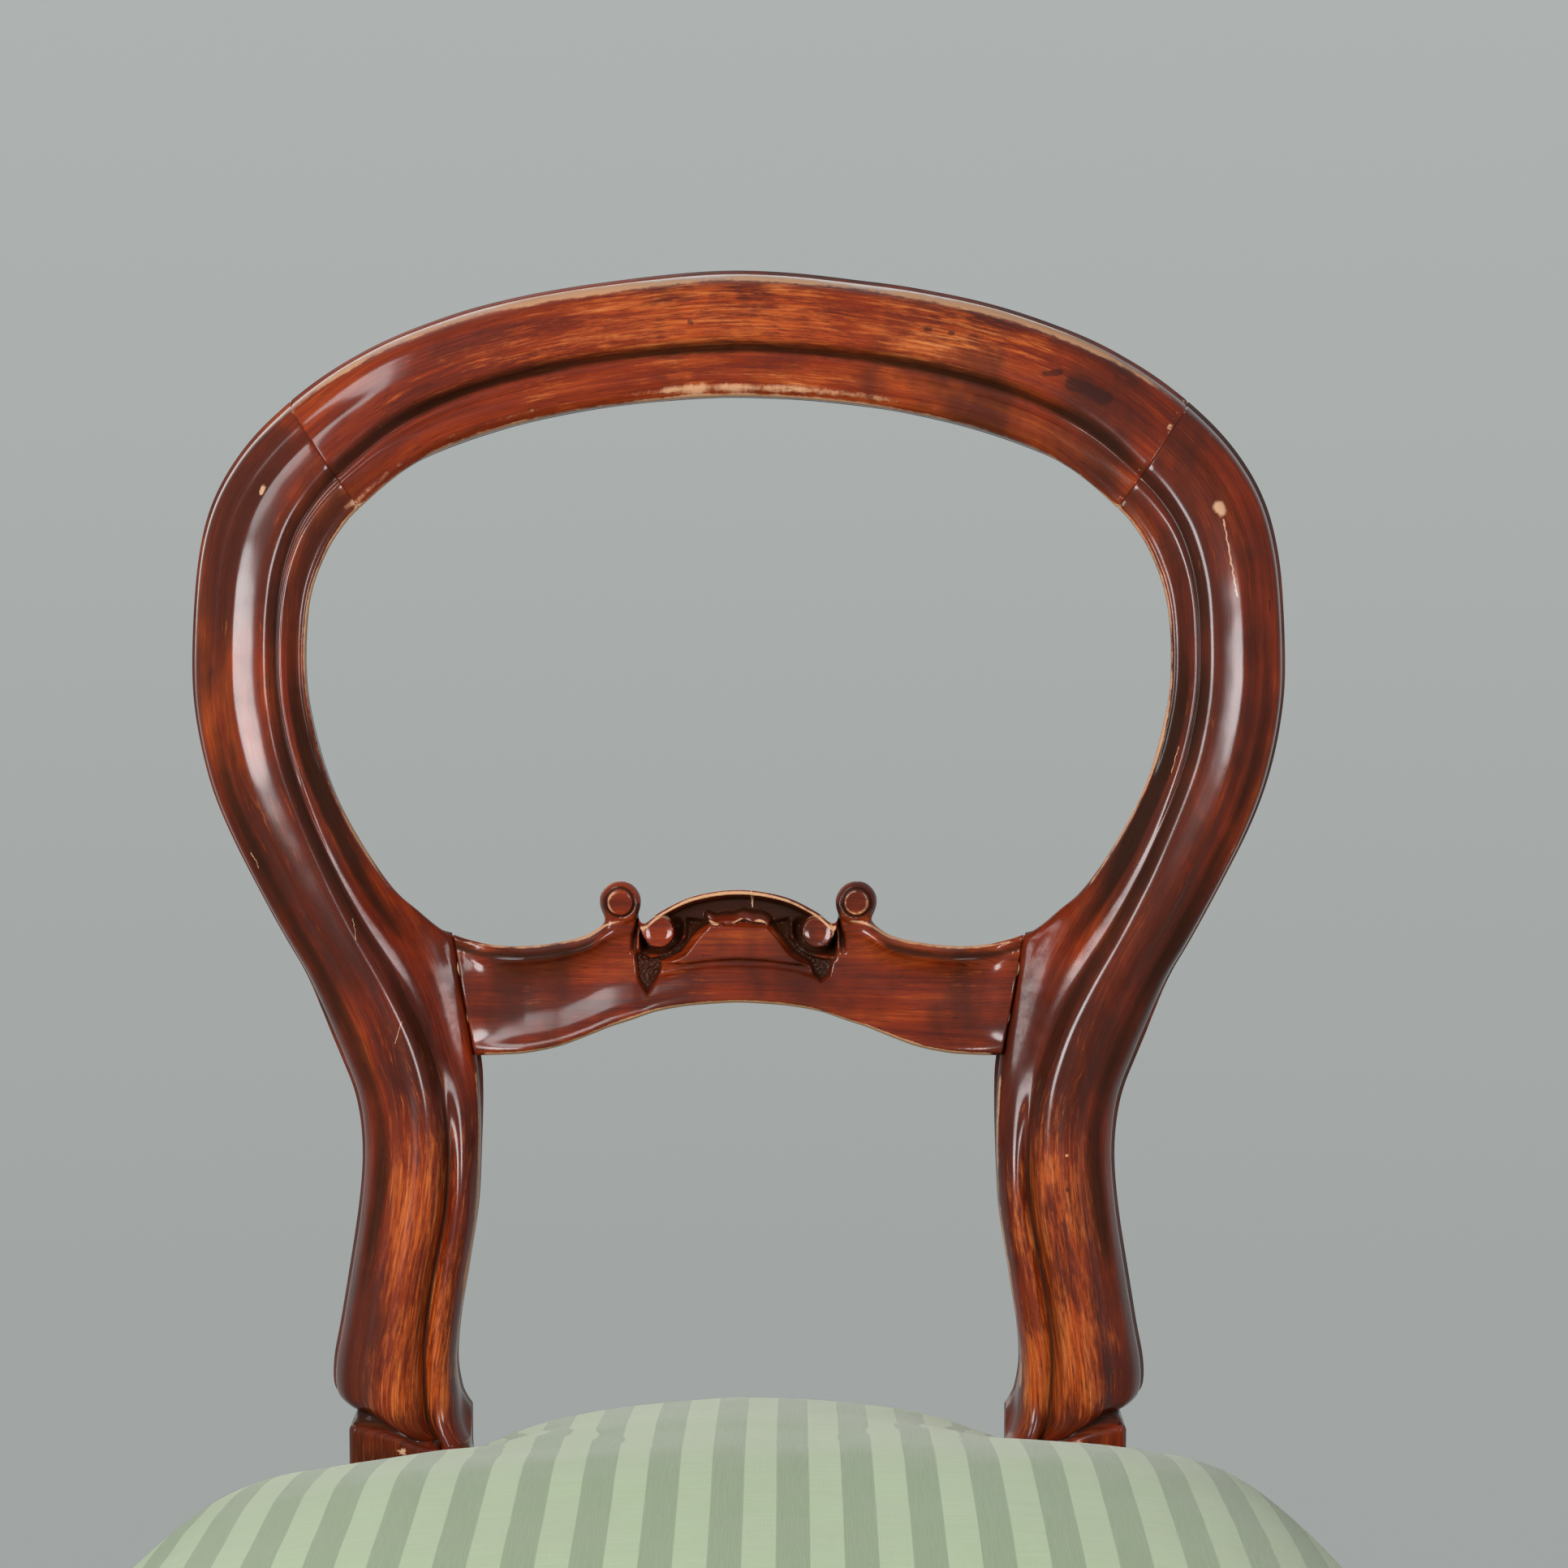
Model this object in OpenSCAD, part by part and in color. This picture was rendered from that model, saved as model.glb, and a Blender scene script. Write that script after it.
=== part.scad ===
// Balloon back dining chair: open balloon-shaped back, carved cross rail and over-stuffed seat.
// X is the width, Y runs from the seat's front to the rear heels, Z is up from the floor.

/* [Overall] */
// Height of the chair to the top of the crest
chair_h = 880; // [840:1:930]
// Depth from the seat's front to the rear heels
chair_d = 520; // [490:1:560]

/* [Back] */
// Greatest width of the balloon-shaped back
back_w = 418; // [400:1:440]
// Height of the square blocks' tops above the floor
block_top_h = 446; // [436:1:458]
// Thickness of the posts just above their blocks
post_t = 30; // [26:0.5:36]
// How far the posts lean back over their height
post_lean = 28; // [10:1:50]
// How far the crest sweeps back besides
crest_sweep = 38; // [10:1:60]
// How far the middle of the crest bows back
crest_bow = 10; // [0:0.5:20]
// Clear width between the two post blocks
block_gap_w = 203; // [190:1:220]
// Width of a post block
block_w = 45.5; // [42:0.5:52]
// Thickness of a post block from front to back
block_t = 36; // [32:0.5:42]
// Diameter of the dowels across the crest seams
crest_dowel_d = 10; // [6:0.5:11]
// Length of the dowels across the crest seams
crest_dowel_l = 36; // [24:1:44]
// Diameter of the cross rail's dowels
rail_dowel_d = 8; // [5:0.5:8.5]
// Length of the cross rail's dowels
rail_dowel_l = 30; // [20:1:36]

/* [Carved cross rail] */
// Radius of the outer scrolls
outer_scroll_r = 7.2; // [5:0.1:8]
// Radius of the inner scrolls
inner_scroll_r = 7; // [5:0.1:8]
// How far the carving stands out of the hollow face
carving_t = 5; // [3:0.1:7]
// Width of the arch band between the inner scrolls
arch_band_w = 4; // [3:0.1:5]

/* [Legs] */
// Width and depth of a rear leg at the floor
rear_foot_w = 30; // [24:0.5:36]
// Radius of a front leg at its knee
knee_r = 24; // [20:0.5:27]
// How far a front leg's knee swings out
knee_out = 10; // [4:0.5:14]
// Distance of a front leg's middle from the seat's side
leg_x = 41; // [37:0.5:45]
// Distance of a front leg's middle from the seat's front
leg_y = 48; // [44:0.5:52]

/* [Seat frame] */
// Greatest width of the seat cover
seat_w = 460; // [440:1:480]
// Depth of the seat to the front of the posts
seat_d = 395; // [380:1:410]
// Height of the rails' lower edges above the floor
rail_bottom_h = 356; // [340:1:366]
// Height of a rail
rail_h = 62; // [54:1:68]
// Thickness of a rail
rail_t = 24; // [20:0.5:26]
// Diameter of the seat rail dowels
seat_dowel_d = 9; // [6:0.5:9]
// Length of the seat rail dowels
seat_dowel_l = 36; // [24:1:40]
// Height of a corner block
corner_block_h = 32; // [22:1:44]
// Diameter of a corner block screw's shank
screw_d = 4; // [3:0.1:5]
// Diameter of a corner block screw's head
screw_head_d = 8; // [6.5:0.1:9]
// Height of a corner block screw's head
screw_head_h = 2.6; // [2:0.1:4]
// How far a corner block screw goes into its rail
screw_grip = 13; // [8:0.5:16]

/* [Seat] */
// Height of the seat's crown above the rails
crown_h = 58; // [48:1:68]
// Height above the rails at which the cover's sides stand upright
cover_side_h = 12; // [9:1:22]
// Height of the cover's lower edge above the rails' lower edges
cover_hem = 12; // [8:0.5:18]
// Thickness of the cover and its wadding
cover_t = 2; // [1.5:0.1:3]
// How far the cover draws in at its lower edge
draw_in = 3.4; // [2.5:0.1:5]
// Height of the gimp braid
gimp_h = 12; // [8:0.5:16]
// Thickness of the gimp braid
gimp_t = 2.4; // [1.6:0.1:3]
// Width of a web
web_w = 44; // [30:1:44]
// Thickness of a web
web_t = 1.6; // [1:0.1:2]
// Thickness of the hessian over the springs
hessian_t = 1.2; // [0.8:0.1:2]
// Diameter of a tack's head
tack_head_d = 8; // [5:0.5:9]
// Thickness of a tack's head
tack_head_t = 1; // [0.6:0.1:1.4]
// Diameter of a tack's pin
tack_pin_d = 1.8; // [1.2:0.1:2.4]
// Length of a tack's pin
tack_pin_l = 11; // [8:0.5:16]
// Diameter of the spring wire
wire_d = 3.4; // [2.6:0.1:4]
// Radius of a spring at its ends
spring_r = 33; // [28:0.5:36]
// Radius of a spring at its waist
spring_waist_r = 20; // [17:0.5:24]
// Turns in a spring
spring_turns = 5; // [4:1:6]

/* [Hidden] */

$fn = 48;

// Colours of the materials
wood_colour = [0.36, 0.13, 0.06];
raw_wood_colour = [0.62, 0.46, 0.28];
dowel_colour = [0.72, 0.56, 0.36];
cloth_colour = [0.62, 0.68, 0.56];
gimp_colour = [0.55, 0.60, 0.46];
jute_colour = [0.66, 0.54, 0.36];
hair_colour = [0.30, 0.26, 0.22];
steel_colour = [0.45, 0.46, 0.48];

// Clearances between neighbours
glue_gap = 0.05; // round a glued dowel
seam_gap = 0.25; // at the cross rail's two ends
soft_gap = 0.3; // round soft pieces
tuck_gap = 0.8; // between the cover's sides and the rails
pin_gap = 0.05; // round a screw or a tack
overrun = 1; // how far a cut runs past a face

// Small sizes of single pieces
notch_rise = 5; // how much higher the cover's edge is at the posts
tongue_rise = 15; // how much higher it is between the posts
block_chamfer = 1.5; // round the top of a post block
screw_seat = 14; // from the rail's inner face to under a screw's head
screw_way = 60; // depth of the way in for a screw's head
tongue_corner = 12; // from the cover's notch corner to its next point
stuffing_edge = 4; // height of the stuffing's lower edge over the hessian

// Places counted in rows of the seat's outline, and plain shares
post_row = 1; // where the side rail's curve starts
front_screw_place = 0.9; // from the front leg's block along the front rail
side_screw_place = 0.9; // from the front leg's block along the side rail
rear_screw_place = 0.9; // from the post along the side rail
tack_crown_share = 0.6; // flat of a tack's head, of its diameter
stuffing_base_share = 0.97; // width of the stuffing's base

// Heights and places that follow from the sizes above
back_rise = chair_h - block_top_h;
half_back = back_w / 2;
block_in = block_gap_w / 2;
block_out = block_in + block_w;
rail_top_h = rail_bottom_h + rail_h;
crown_z = rail_top_h + crown_h;
cover_side_z = rail_top_h + cover_side_h;
hem_drop = cover_side_z - rail_bottom_h - cover_hem;
gimp_inset = draw_in * (hem_drop - gimp_h) / hem_drop - soft_gap; // of the gimp's inner face
seat_front = -chair_d / 2 + max(0, gimp_t - gimp_inset);
post_front = seat_front + seat_d;
post_mid = post_front + block_t / 2;
heel_mid = chair_d / 2 - rear_foot_w / 2;
cover_hem_h = rail_bottom_h + cover_hem;
half_seat = seat_w / 2;
rail_inset = draw_in + cover_t + tuck_gap;

// Back half outline from the post's toe to the crest's middle. Each row: outer x and height, inner
// x and height, the groove's share of the width, the form, and the depth share of post_t. The x
// shares are of half the back's width, the height shares of the rise above the blocks.
seam_share_row = 22;
back_shares = [
    [0.700, 0.002, 0.489, 0.002, 0.72, 0.0, 1.02],
    [0.722, 0.009, 0.500, 0.010, 0.73, 0.0, 1.03],
    [0.736, 0.020, 0.508, 0.020, 0.73, 0.0, 1.03],
    [0.736, 0.044, 0.515, 0.044, 0.73, 0.0, 1.02],
    [0.724, 0.076, 0.510, 0.077, 0.71, 0.0, 1.00],
    [0.708, 0.124, 0.494, 0.126, 0.69, 0.0, 0.99],
    [0.690, 0.180, 0.478, 0.180, 0.69, 0.0, 0.98],
    [0.682, 0.230, 0.474, 0.238, 0.70, 0.2, 0.97],
    [0.692, 0.275, 0.477, 0.282, 0.70, 0.7, 0.96],
    [0.722, 0.310, 0.482, 0.313, 0.66, 1.0, 0.95],
    [0.740, 0.332, 0.503, 0.366, 0.62, 1.0, 0.94],
    [0.762, 0.356, 0.524, 0.419, 0.60, 1.0, 0.93],
    [0.792, 0.386, 0.594, 0.442, 0.65, 1.3, 0.92],
    [0.823, 0.411, 0.640, 0.463, 0.69, 1.7, 0.91],
    [0.868, 0.450, 0.699, 0.506, 0.71, 2.0, 0.90],
    [0.932, 0.510, 0.743, 0.548, 0.71, 2.0, 0.88],
    [0.972, 0.561, 0.772, 0.590, 0.71, 2.0, 0.87],
    [0.997, 0.622, 0.790, 0.634, 0.71, 2.0, 0.85],
    [1.000, 0.680, 0.793, 0.680, 0.71, 2.0, 0.84],
    [0.992, 0.745, 0.783, 0.720, 0.70, 2.0, 0.83],
    [0.966, 0.797, 0.758, 0.753, 0.69, 2.1, 0.82],
    [0.911, 0.843, 0.731, 0.775, 0.68, 2.2, 0.81],
    [0.830, 0.883, 0.698, 0.793, 0.67, 2.3, 0.80],
    [0.731, 0.918, 0.614, 0.827, 0.65, 2.6, 0.79],
    [0.611, 0.947, 0.525, 0.849, 0.63, 3.0, 0.78],
    [0.452, 0.972, 0.390, 0.869, 0.62, 3.0, 0.77],
    [0.246, 0.990, 0.220, 0.884, 0.61, 3.0, 0.76],
    [0, 1, 0, 0.891, 0.61, 3.0, 0.76]];
back_row_steps = 2;

// Section forms: the share across from the outer edge to the groove (0 to 1) and on to the inner
// edge (1 to 2), with the height share over the flat rear face. All forms have as many points.
block_form_shares = [[0, 0.3], [0, 0.6], [0, 0.93], [0.05, 1], [0.15, 1], [0.27, 1], [0.4, 1],
    [0.52, 1], [0.64, 1], [0.76, 1], [0.88, 1], [0.95, 1], [1, 1], [1.12, 1], [1.26, 1], [1.42, 1],
    [1.6, 1], [1.83, 1], [2, 0.93], [2, 0.5], [2, 0.04], [1.9, 0], [0.1, 0], [0, 0.04]];
foot_form_shares = [[0, 0.42], [0.05, 0.64], [0.11, 0.77], [0.17, 0.80], [0.24, 0.76],
    [0.33, 0.74], [0.42, 0.86], [0.52, 0.95], [0.64, 1], [0.78, 0.97], [0.89, 0.89], [0.96, 0.78],
    [1, 0.68], [1.12, 0.78], [1.25, 0.84], [1.42, 0.86], [1.62, 0.82], [1.82, 0.72], [1.94, 0.58],
    [2, 0.42], [2, 0.12], [1.92, 0], [0.1, 0], [0, 0.14]];
web_form_shares = [[0, 0.38], [0.05, 0.56], [0.13, 0.70], [0.24, 0.78], [0.31, 0.78],
    [0.39, 0.75], [0.46, 0.86], [0.55, 0.95], [0.66, 1], [0.78, 0.97], [0.89, 0.88], [0.96, 0.77],
    [1, 0.69], [1.1, 0.75], [1.24, 0.77], [1.4, 0.73], [1.6, 0.69], [1.82, 0.67], [1.94, 0.67],
    [2, 0.64], [2, 0.06], [1.95, 0], [0.08, 0], [0, 0.12]];
side_form_shares = [[0, 0.36], [0.05, 0.54], [0.14, 0.70], [0.26, 0.81], [0.33, 0.80],
    [0.4, 0.75], [0.46, 0.87], [0.55, 0.96], [0.66, 1], [0.78, 0.97], [0.88, 0.88], [0.95, 0.76],
    [1, 0.66], [1.1, 0.76], [1.22, 0.80], [1.34, 0.75], [1.5, 0.62], [1.75, 0.49], [1.94, 0.44],
    [2, 0.38], [2, 0.12], [1.85, 0], [0.08, 0], [0, 0.12]];
crest_form_shares = [[0, 0.40], [0.03, 0.60], [0.08, 0.78], [0.15, 0.89], [0.24, 0.95],
    [0.34, 0.975], [0.45, 0.99], [0.56, 1], [0.68, 1], [0.79, 0.985], [0.9, 0.96], [0.96, 0.88],
    [1, 0.72], [1.15, 0.73], [1.3, 0.71], [1.45, 0.73], [1.57, 0.80], [1.7, 0.72], [1.87, 0.56],
    [2, 0.42], [2, 0.12], [1.85, 0], [0.1, 0], [0, 0.14]];
form_shares = [block_form_shares, foot_form_shares, web_form_shares, side_form_shares,
    crest_form_shares];
// Places of the cap's middle, across and above the rear face
cap_mid_share = 0.6;
cap_mid_rise_share = 0.05;

// Rear leg rows from the floor to the block: height share of the rails' lower edges and width
// share between the foot and the block
rear_leg_shares = [[0, 0], [0.04, 0.02], [0.25, 0.14], [0.5, 0.36], [0.75, 0.68], [0.93, 1]];
rear_leg_curve_share = 1.6;

// Cross rail rows from the seam to the middle: upper x and height, lower x and height, form. The
// x shares are of half the back's width, the height shares of the rise above the blocks.
cross_rail_shares = [
    [0.524, 0.4190, 0.482, 0.3130, 0], [0.500, 0.4150, 0.465, 0.3135, 0.2],
    [0.455, 0.4120, 0.430, 0.3145, 0.7], [0.397, 0.4110, 0.384, 0.3165, 1],
    [0.335, 0.4140, 0.328, 0.3220, 1], [0.279, 0.4200, 0.276, 0.3310, 1],
    [0.235, 0.4320, 0.234, 0.3390, 1], [0.195, 0.4350, 0.195, 0.3450, 1],
    [0.172, 0.4310, 0.172, 0.3490, 1], [0.144, 0.4410, 0.144, 0.3530, 1],
    [0.096, 0.4530, 0.096, 0.3570, 1], [0.048, 0.4590, 0.048, 0.3590, 1],
    [0, 0.4610, 0, 0.3600, 1]];
// Cross rail section: share down from the upper edge and height share over the rear face
rail_end_form_shares = [[0, 0.06], [0, 0.40], [0, 0.64], [0.06, 0.67], [0.2, 0.66], [0.38, 0.66],
    [0.55, 0.66], [0.72, 0.66], [0.88, 0.67], [0.95, 0.67], [1, 0.64], [1, 0.36], [1, 0.06],
    [0.95, 0], [0.5, 0], [0.05, 0]];
rail_mid_form_shares = [[0, 0.10], [0, 0.45], [0.01, 0.74], [0.05, 0.82], [0.1, 0.80],
    [0.2, 0.64], [0.36, 0.57], [0.6, 0.59], [0.8, 0.70], [0.92, 0.82], [0.985, 0.78], [1, 0.60],
    [1, 0.12], [0.93, 0], [0.5, 0], [0.07, 0]];
rail_depth_share = 0.93;
cross_rail_steps = 2;

// Carving on the cross rail, in shares of half the back's width from the middle and of the rise
outer_scroll_share = 0.216; // across
outer_scroll_top_share = 0.4350; // the rail's upper edge there, of the rise
outer_scroll_up = 5.6; // from that edge to the scroll's middle
inner_scroll_shares = [0.1435, 0.4230];
arch_shares = [[0.1700, 0.4280], [0.1500, 0.4390], [0.1200, 0.4475], [0.0850, 0.4540],
    [0.0450, 0.4590], [0, 0.4605]];
tablet_shares = [[0.0600, 0.4270], [0.0800, 0.4200], [0.1000, 0.4050], [0.1400, 0.3980],
    [0.1300, 0.3955], [0, 0.3970]];
leaf_shares = [[0.1480, 0.4060], [0.1850, 0.4080], [0.1800, 0.3850], [0.1620, 0.3740],
    [0.1500, 0.3880]];
carving_foot_share = 0.5; // depth of the carving's root in the rail
tablet_rise_share = 0.35; // how far the tablet stands out, of the carving's height
leaf_rise_share = 0.3; // how far the leaves stand out, of the carving's height

// Seat outline from the post's front to the middle of the front: x as a share of the post's place
// and a share of half the seat's width, y share of the seat's depth from its front
seat_shares = [[1, 0, 1], [0.812, 0.188, 0.984], [0.660, 0.340, 0.946], [0.530, 0.470, 0.888],
    [0.410, 0.590, 0.802], [0.312, 0.688, 0.686], [0.204, 0.796, 0.532], [0.103, 0.897, 0.380],
    [0.030, 0.970, 0.253], [0, 1, 0.165], [0, 0.985, 0.105], [0, 0.930, 0.058],
    [0, 0.800, 0.028], [0, 0.640, 0.015], [0, 0.440, 0.006], [0, 0.220, 0.001], [0, 0, 0]];
seat_in = 1.4; // from the post block's outer side to the seat outline's rear end
seat_steps = 3;
leg_from_row = 9.333; // where the leg's block starts, counted in rows
leg_to_row = 12; // where it ends
seat_mid_share = 0.55; // the rings' middle, as a share of the seat's depth

// Cover rings from the crown down: share of the way out, height share of the crown's rise
crown_shares = [[0.30, 0.97], [0.55, 0.88], [0.74, 0.745], [0.87, 0.57], [0.95, 0.37],
    [0.99, 0.16], [1, 0]];
rear_from_share = 0.7; // where the gentle slope to the posts starts, of the seat's depth
notch_power = 1.35; // how the crown slopes down to the posts
tongue_power = 2; // how it slopes down between them

// Springs: x share of half the seat's width, y share of the seat's depth from its front
spring_shares = [[0.42, 0.26], [-0.42, 0.26], [0, 0.47], [0.34, 0.70], [-0.34, 0.70]];
spring_end_pitch_share = 0.45; // pitch of the end turns, of the mean pitch

// Webs: front and rear places as shares of the rear rail's clear half width, and y places as
// shares of the seat's depth
web_rear_shares = [-0.735, -0.245, 0.245, 0.735];
web_front_shares = [-1.20, -0.40, 0.40, 1.20];
cross_web_shares = [0.25, 0.41, 0.57, 0.73];
tack_spread_shares = [-0.36, 0, 0.36];
web_flat_share = 1.18; // flat of a weave over its crossing web, of the web's width

// Seat rail dowel heights as shares of the rail's height
front_dowel_shares = [0.25, 0.65];
side_dowel_shares = [0.45, 0.85];

function lerp(a, b, t) = a + (b - a) * t;
function unit(v) = v / norm(v);
function spline(a, b, c, d, t) = (2 * b + (c - a) * t + (2 * a - 5 * b + 4 * c - d) * t * t
    + (3 * b - a - 3 * c + d) * t * t * t) / 2;
function side_flip(row) = [-row[0], row[1], -row[2], row[3], row[4], row[5], row[6]];
function x_flip(p) = len(p) == 2 ? [-p[0], p[1]] : [-p[0], p[1], p[2]];
function backwards(a) = [for (i = [len(a) - 1:-1:0]) a[i]];

// Spine of the back: how far back its middle surface lies, over x and height
function spine_y(x, z) = z >= block_top_h
    ? let (u = (z - block_top_h) / back_rise)
        post_mid + post_lean * u + crest_sweep * u * u
            + crest_bow * u * (1 - pow(x / half_back, 2))
    : z >= rail_bottom_h ? post_mid
    : lerp(post_mid, heel_mid, pow(1 - z / rail_bottom_h, rear_leg_curve_share));
function spine_angle(z) = atan((post_lean + crest_bow
    + 2 * crest_sweep * (z - block_top_h) / back_rise) / back_rise);

function form_at(f) = let (k = min(floor(f + 1), len(form_shares) - 2), t = f + 1 - k)
    [for (i = [0:len(form_shares[0]) - 1]) lerp(form_shares[k][i], form_shares[k + 1][i], t)];
function across(w, g) = w <= 1 ? w * g : g + (w - 1) * (1 - g);

// One ring of the back: corners o and i in the XZ plane, groove share g, form f and depth t
function ring(o, i, g, f, t) = [for (p = form_at(f)) let (c = lerp(o, i, across(p[0], g)))
    [c[0], spine_y(c[0], c[1]) + t * (1 / 2 - p[1]), c[1]]];
function cap_mid(o, i, t) = let (c = lerp(o, i, cap_mid_share))
    [c[0], spine_y(c[0], c[1]) + t * (1 / 2 - cap_mid_rise_share), c[1]];
function row_ring(r) = ring([r[0] * half_back, block_top_h + r[1] * back_rise],
    [r[2] * half_back, block_top_h + r[3] * back_rise], r[4], r[5], r[6] * post_t);
function row_cap(r) = cap_mid([r[0] * half_back, block_top_h + r[1] * back_rise],
    [r[2] * half_back, block_top_h + r[3] * back_rise], r[6] * post_t);

last_back_row = len(back_shares) - 1;
function back_row(i) = i < 0 ? back_shares[0]
    : i > last_back_row ? side_flip(back_shares[2 * last_back_row - i]) : back_shares[i];
function back_rows(from, to) = [for (i = [from:to - 1], k = [0:back_row_steps - 1])
    spline(back_row(i - 1), back_row(i), back_row(i + 1), back_row(i + 2), k / back_row_steps),
    back_row(to)];

// A closed skin over rings with as many points each, with a fan round a middle at either end
module skin(rings, first_mid, last_mid) {
    n = len(rings[0]);
    m = len(rings);
    flat = [for (r = rings, p = r) p];
    polyhedron(points = concat(flat, [first_mid, last_mid]), faces = concat(
        [for (i = [0:m - 2], j = [0:n - 1]) let (a = i * n + j, b = i * n + (j + 1) % n)
            [a, b, b + n]],
        [for (i = [0:m - 2], j = [0:n - 1]) let (a = i * n + j, b = i * n + (j + 1) % n)
            [a, b + n, a + n]],
        [for (j = [0:n - 1]) [(j + 1) % n, j, m * n]],
        [for (j = [0:n - 1]) [(m - 1) * n + j, (m - 1) * n + (j + 1) % n, m * n + 1]]));
}

// Round bar about a middle point, along a direction
module bar(at, dir, d, l) {
    flat_l = norm([dir[0], dir[1]]);
    translate(at) rotate([0, atan2(flat_l, dir[2]), atan2(dir[1], dir[0])])
        cylinder(d = d, h = l, center = true);
}

// Crest seam: middle and direction across it
seam_row = back_shares[seam_share_row];
seam_out = [seam_row[0] * half_back, block_top_h + seam_row[1] * back_rise];
seam_in = [seam_row[2] * half_back, block_top_h + seam_row[3] * back_rise];
seam_mid = (seam_out + seam_in) / 2;
seam_dir = unit([-(seam_out[1] - seam_in[1]), seam_out[0] - seam_in[0]]);
module crest_dowel(gap) {
    bar([seam_mid[0], spine_y(seam_mid[0], seam_mid[1]), seam_mid[1]],
        [seam_dir[0], 0, seam_dir[1]], crest_dowel_d + 2 * gap, crest_dowel_l + 2 * gap);
}

// Cross rail seams: two dowels across each
rail_row = cross_rail_shares[0];
rail_seam_top = [rail_row[0] * half_back, block_top_h + rail_row[1] * back_rise];
rail_seam_low = [rail_row[2] * half_back, block_top_h + rail_row[3] * back_rise];
rail_seam_dir = unit([rail_seam_top[1] - rail_seam_low[1], -(rail_seam_top[0] - rail_seam_low[0])]);
rail_dowel_place_shares = [0.3, 0.7];
rail_dowel_rise_share = 0.31;
rail_depth = rail_depth_share * post_t;
module cross_rail_dowel_pair(gap) {
    for (s = rail_dowel_place_shares) {
        c = lerp(rail_seam_top, rail_seam_low, s);
        bar([c[0], spine_y(c[0], c[1]) + rail_depth * (1 / 2 - rail_dowel_rise_share), c[1]],
            [rail_seam_dir[0], 0, rail_seam_dir[1]], rail_dowel_d + 2 * gap,
            rail_dowel_l + 2 * gap);
    }
}

// Rear leg, block and post up to the crest seam, as one skin
function leg_ring(z, w, t) = ring([block_in + block_w / 2 + w / 2, z],
    [block_in + block_w / 2 - w / 2, z], back_shares[0][4], -1, t);
post_rings = concat(
    [for (r = rear_leg_shares) let (w = lerp(rear_foot_w, block_w, r[1]),
        t = lerp(rear_foot_w, block_t, r[1])) leg_ring(r[0] * rail_bottom_h, w, t)],
    [leg_ring(block_top_h - block_chamfer, block_w, block_t),
        leg_ring(block_top_h, block_w - 2 * block_chamfer, block_t - 2 * block_chamfer)],
    [for (r = back_rows(0, seam_share_row)) row_ring(r)]);

module seat_dowel_bars(gap, which) {
    for (z = front_dowel_shares) {
        if (which == "front") bar(concat(front_joint_mid, rail_bottom_h + z * rail_h),
            concat(front_joint_dir, 0), seat_dowel_d + 2 * gap, seat_dowel_l + 2 * gap);
        if (which == "back") bar([block_in, post_mid, rail_bottom_h + z * rail_h], [1, 0, 0],
            seat_dowel_d + 2 * gap, seat_dowel_l + 2 * gap);
    }
    for (z = side_dowel_shares) {
        if (which == "side") bar(concat(side_joint_mid, rail_bottom_h + z * rail_h),
            concat(side_joint_dir, 0), seat_dowel_d + 2 * gap, seat_dowel_l + 2 * gap);
        if (which == "post") bar(concat(post_joint_mid, rail_bottom_h + z * rail_h),
            concat(post_joint_dir, 0), seat_dowel_d + 2 * gap, seat_dowel_l + 2 * gap);
    }
}

module back_post() {
    color(wood_colour) difference() {
        skin(post_rings, [block_in + block_w / 2, heel_mid, 0], row_cap(seam_row));
        crest_dowel(glue_gap);
        cross_rail_dowel_pair(glue_gap);
        seat_dowel_bars(glue_gap, "back");
        seat_dowel_bars(glue_gap, "post");
    }
}
module right_back_post() { back_post(); }
module left_back_post() { color(wood_colour) mirror([1, 0, 0]) back_post(); }

module crest_rail() {
    right_rows = back_rows(seam_share_row, last_back_row);
    rows = concat(right_rows, [for (i = [len(right_rows) - 2:-1:0]) side_flip(right_rows[i])]);
    color(wood_colour) difference() {
        skin([for (r = rows) row_ring(r)], row_cap(rows[0]), row_cap(rows[len(rows) - 1]));
        crest_dowel(glue_gap);
        mirror([1, 0, 0]) crest_dowel(glue_gap);
    }
}

module crest_dowels() {
    color(dowel_colour) {
        crest_dowel(0);
        mirror([1, 0, 0]) crest_dowel(0);
    }
}

// Cross rail body
function rail_form(f) = [for (i = [0:len(rail_end_form_shares) - 1])
    lerp(rail_end_form_shares[i], rail_mid_form_shares[i], f)];
function rail_ring(r, side, inset) = [for (p = rail_form(r[4]))
    let (a = [r[0] * half_back - inset, block_top_h + r[1] * back_rise],
        b = [r[2] * half_back - inset, block_top_h + r[3] * back_rise], c = lerp(a, b, p[0]))
    [side * c[0], spine_y(c[0], c[1]) + rail_depth * (1 / 2 - p[1]), c[1]]];
function rail_flip(r) = [-r[0], r[1], -r[2], r[3], r[4]];
last_rail_row = len(cross_rail_shares) - 1;
function rail_row_at(i) = i < 0 ? cross_rail_shares[0] : i > last_rail_row
    ? rail_flip(cross_rail_shares[2 * last_rail_row - i]) : cross_rail_shares[i];
rail_rows = [for (i = [0:last_rail_row - 1], k = [0:cross_rail_steps - 1])
    spline(rail_row_at(i - 1), rail_row_at(i), rail_row_at(i + 1), rail_row_at(i + 2),
        k / cross_rail_steps), rail_row_at(last_rail_row)];
function rail_cap(side) = let (c = (rail_seam_top + rail_seam_low) / 2)
    [side * (c[0] - seam_gap), spine_y(c[0], c[1]) + rail_depth * (1 / 2 - cap_mid_rise_share), c[1]];

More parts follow.
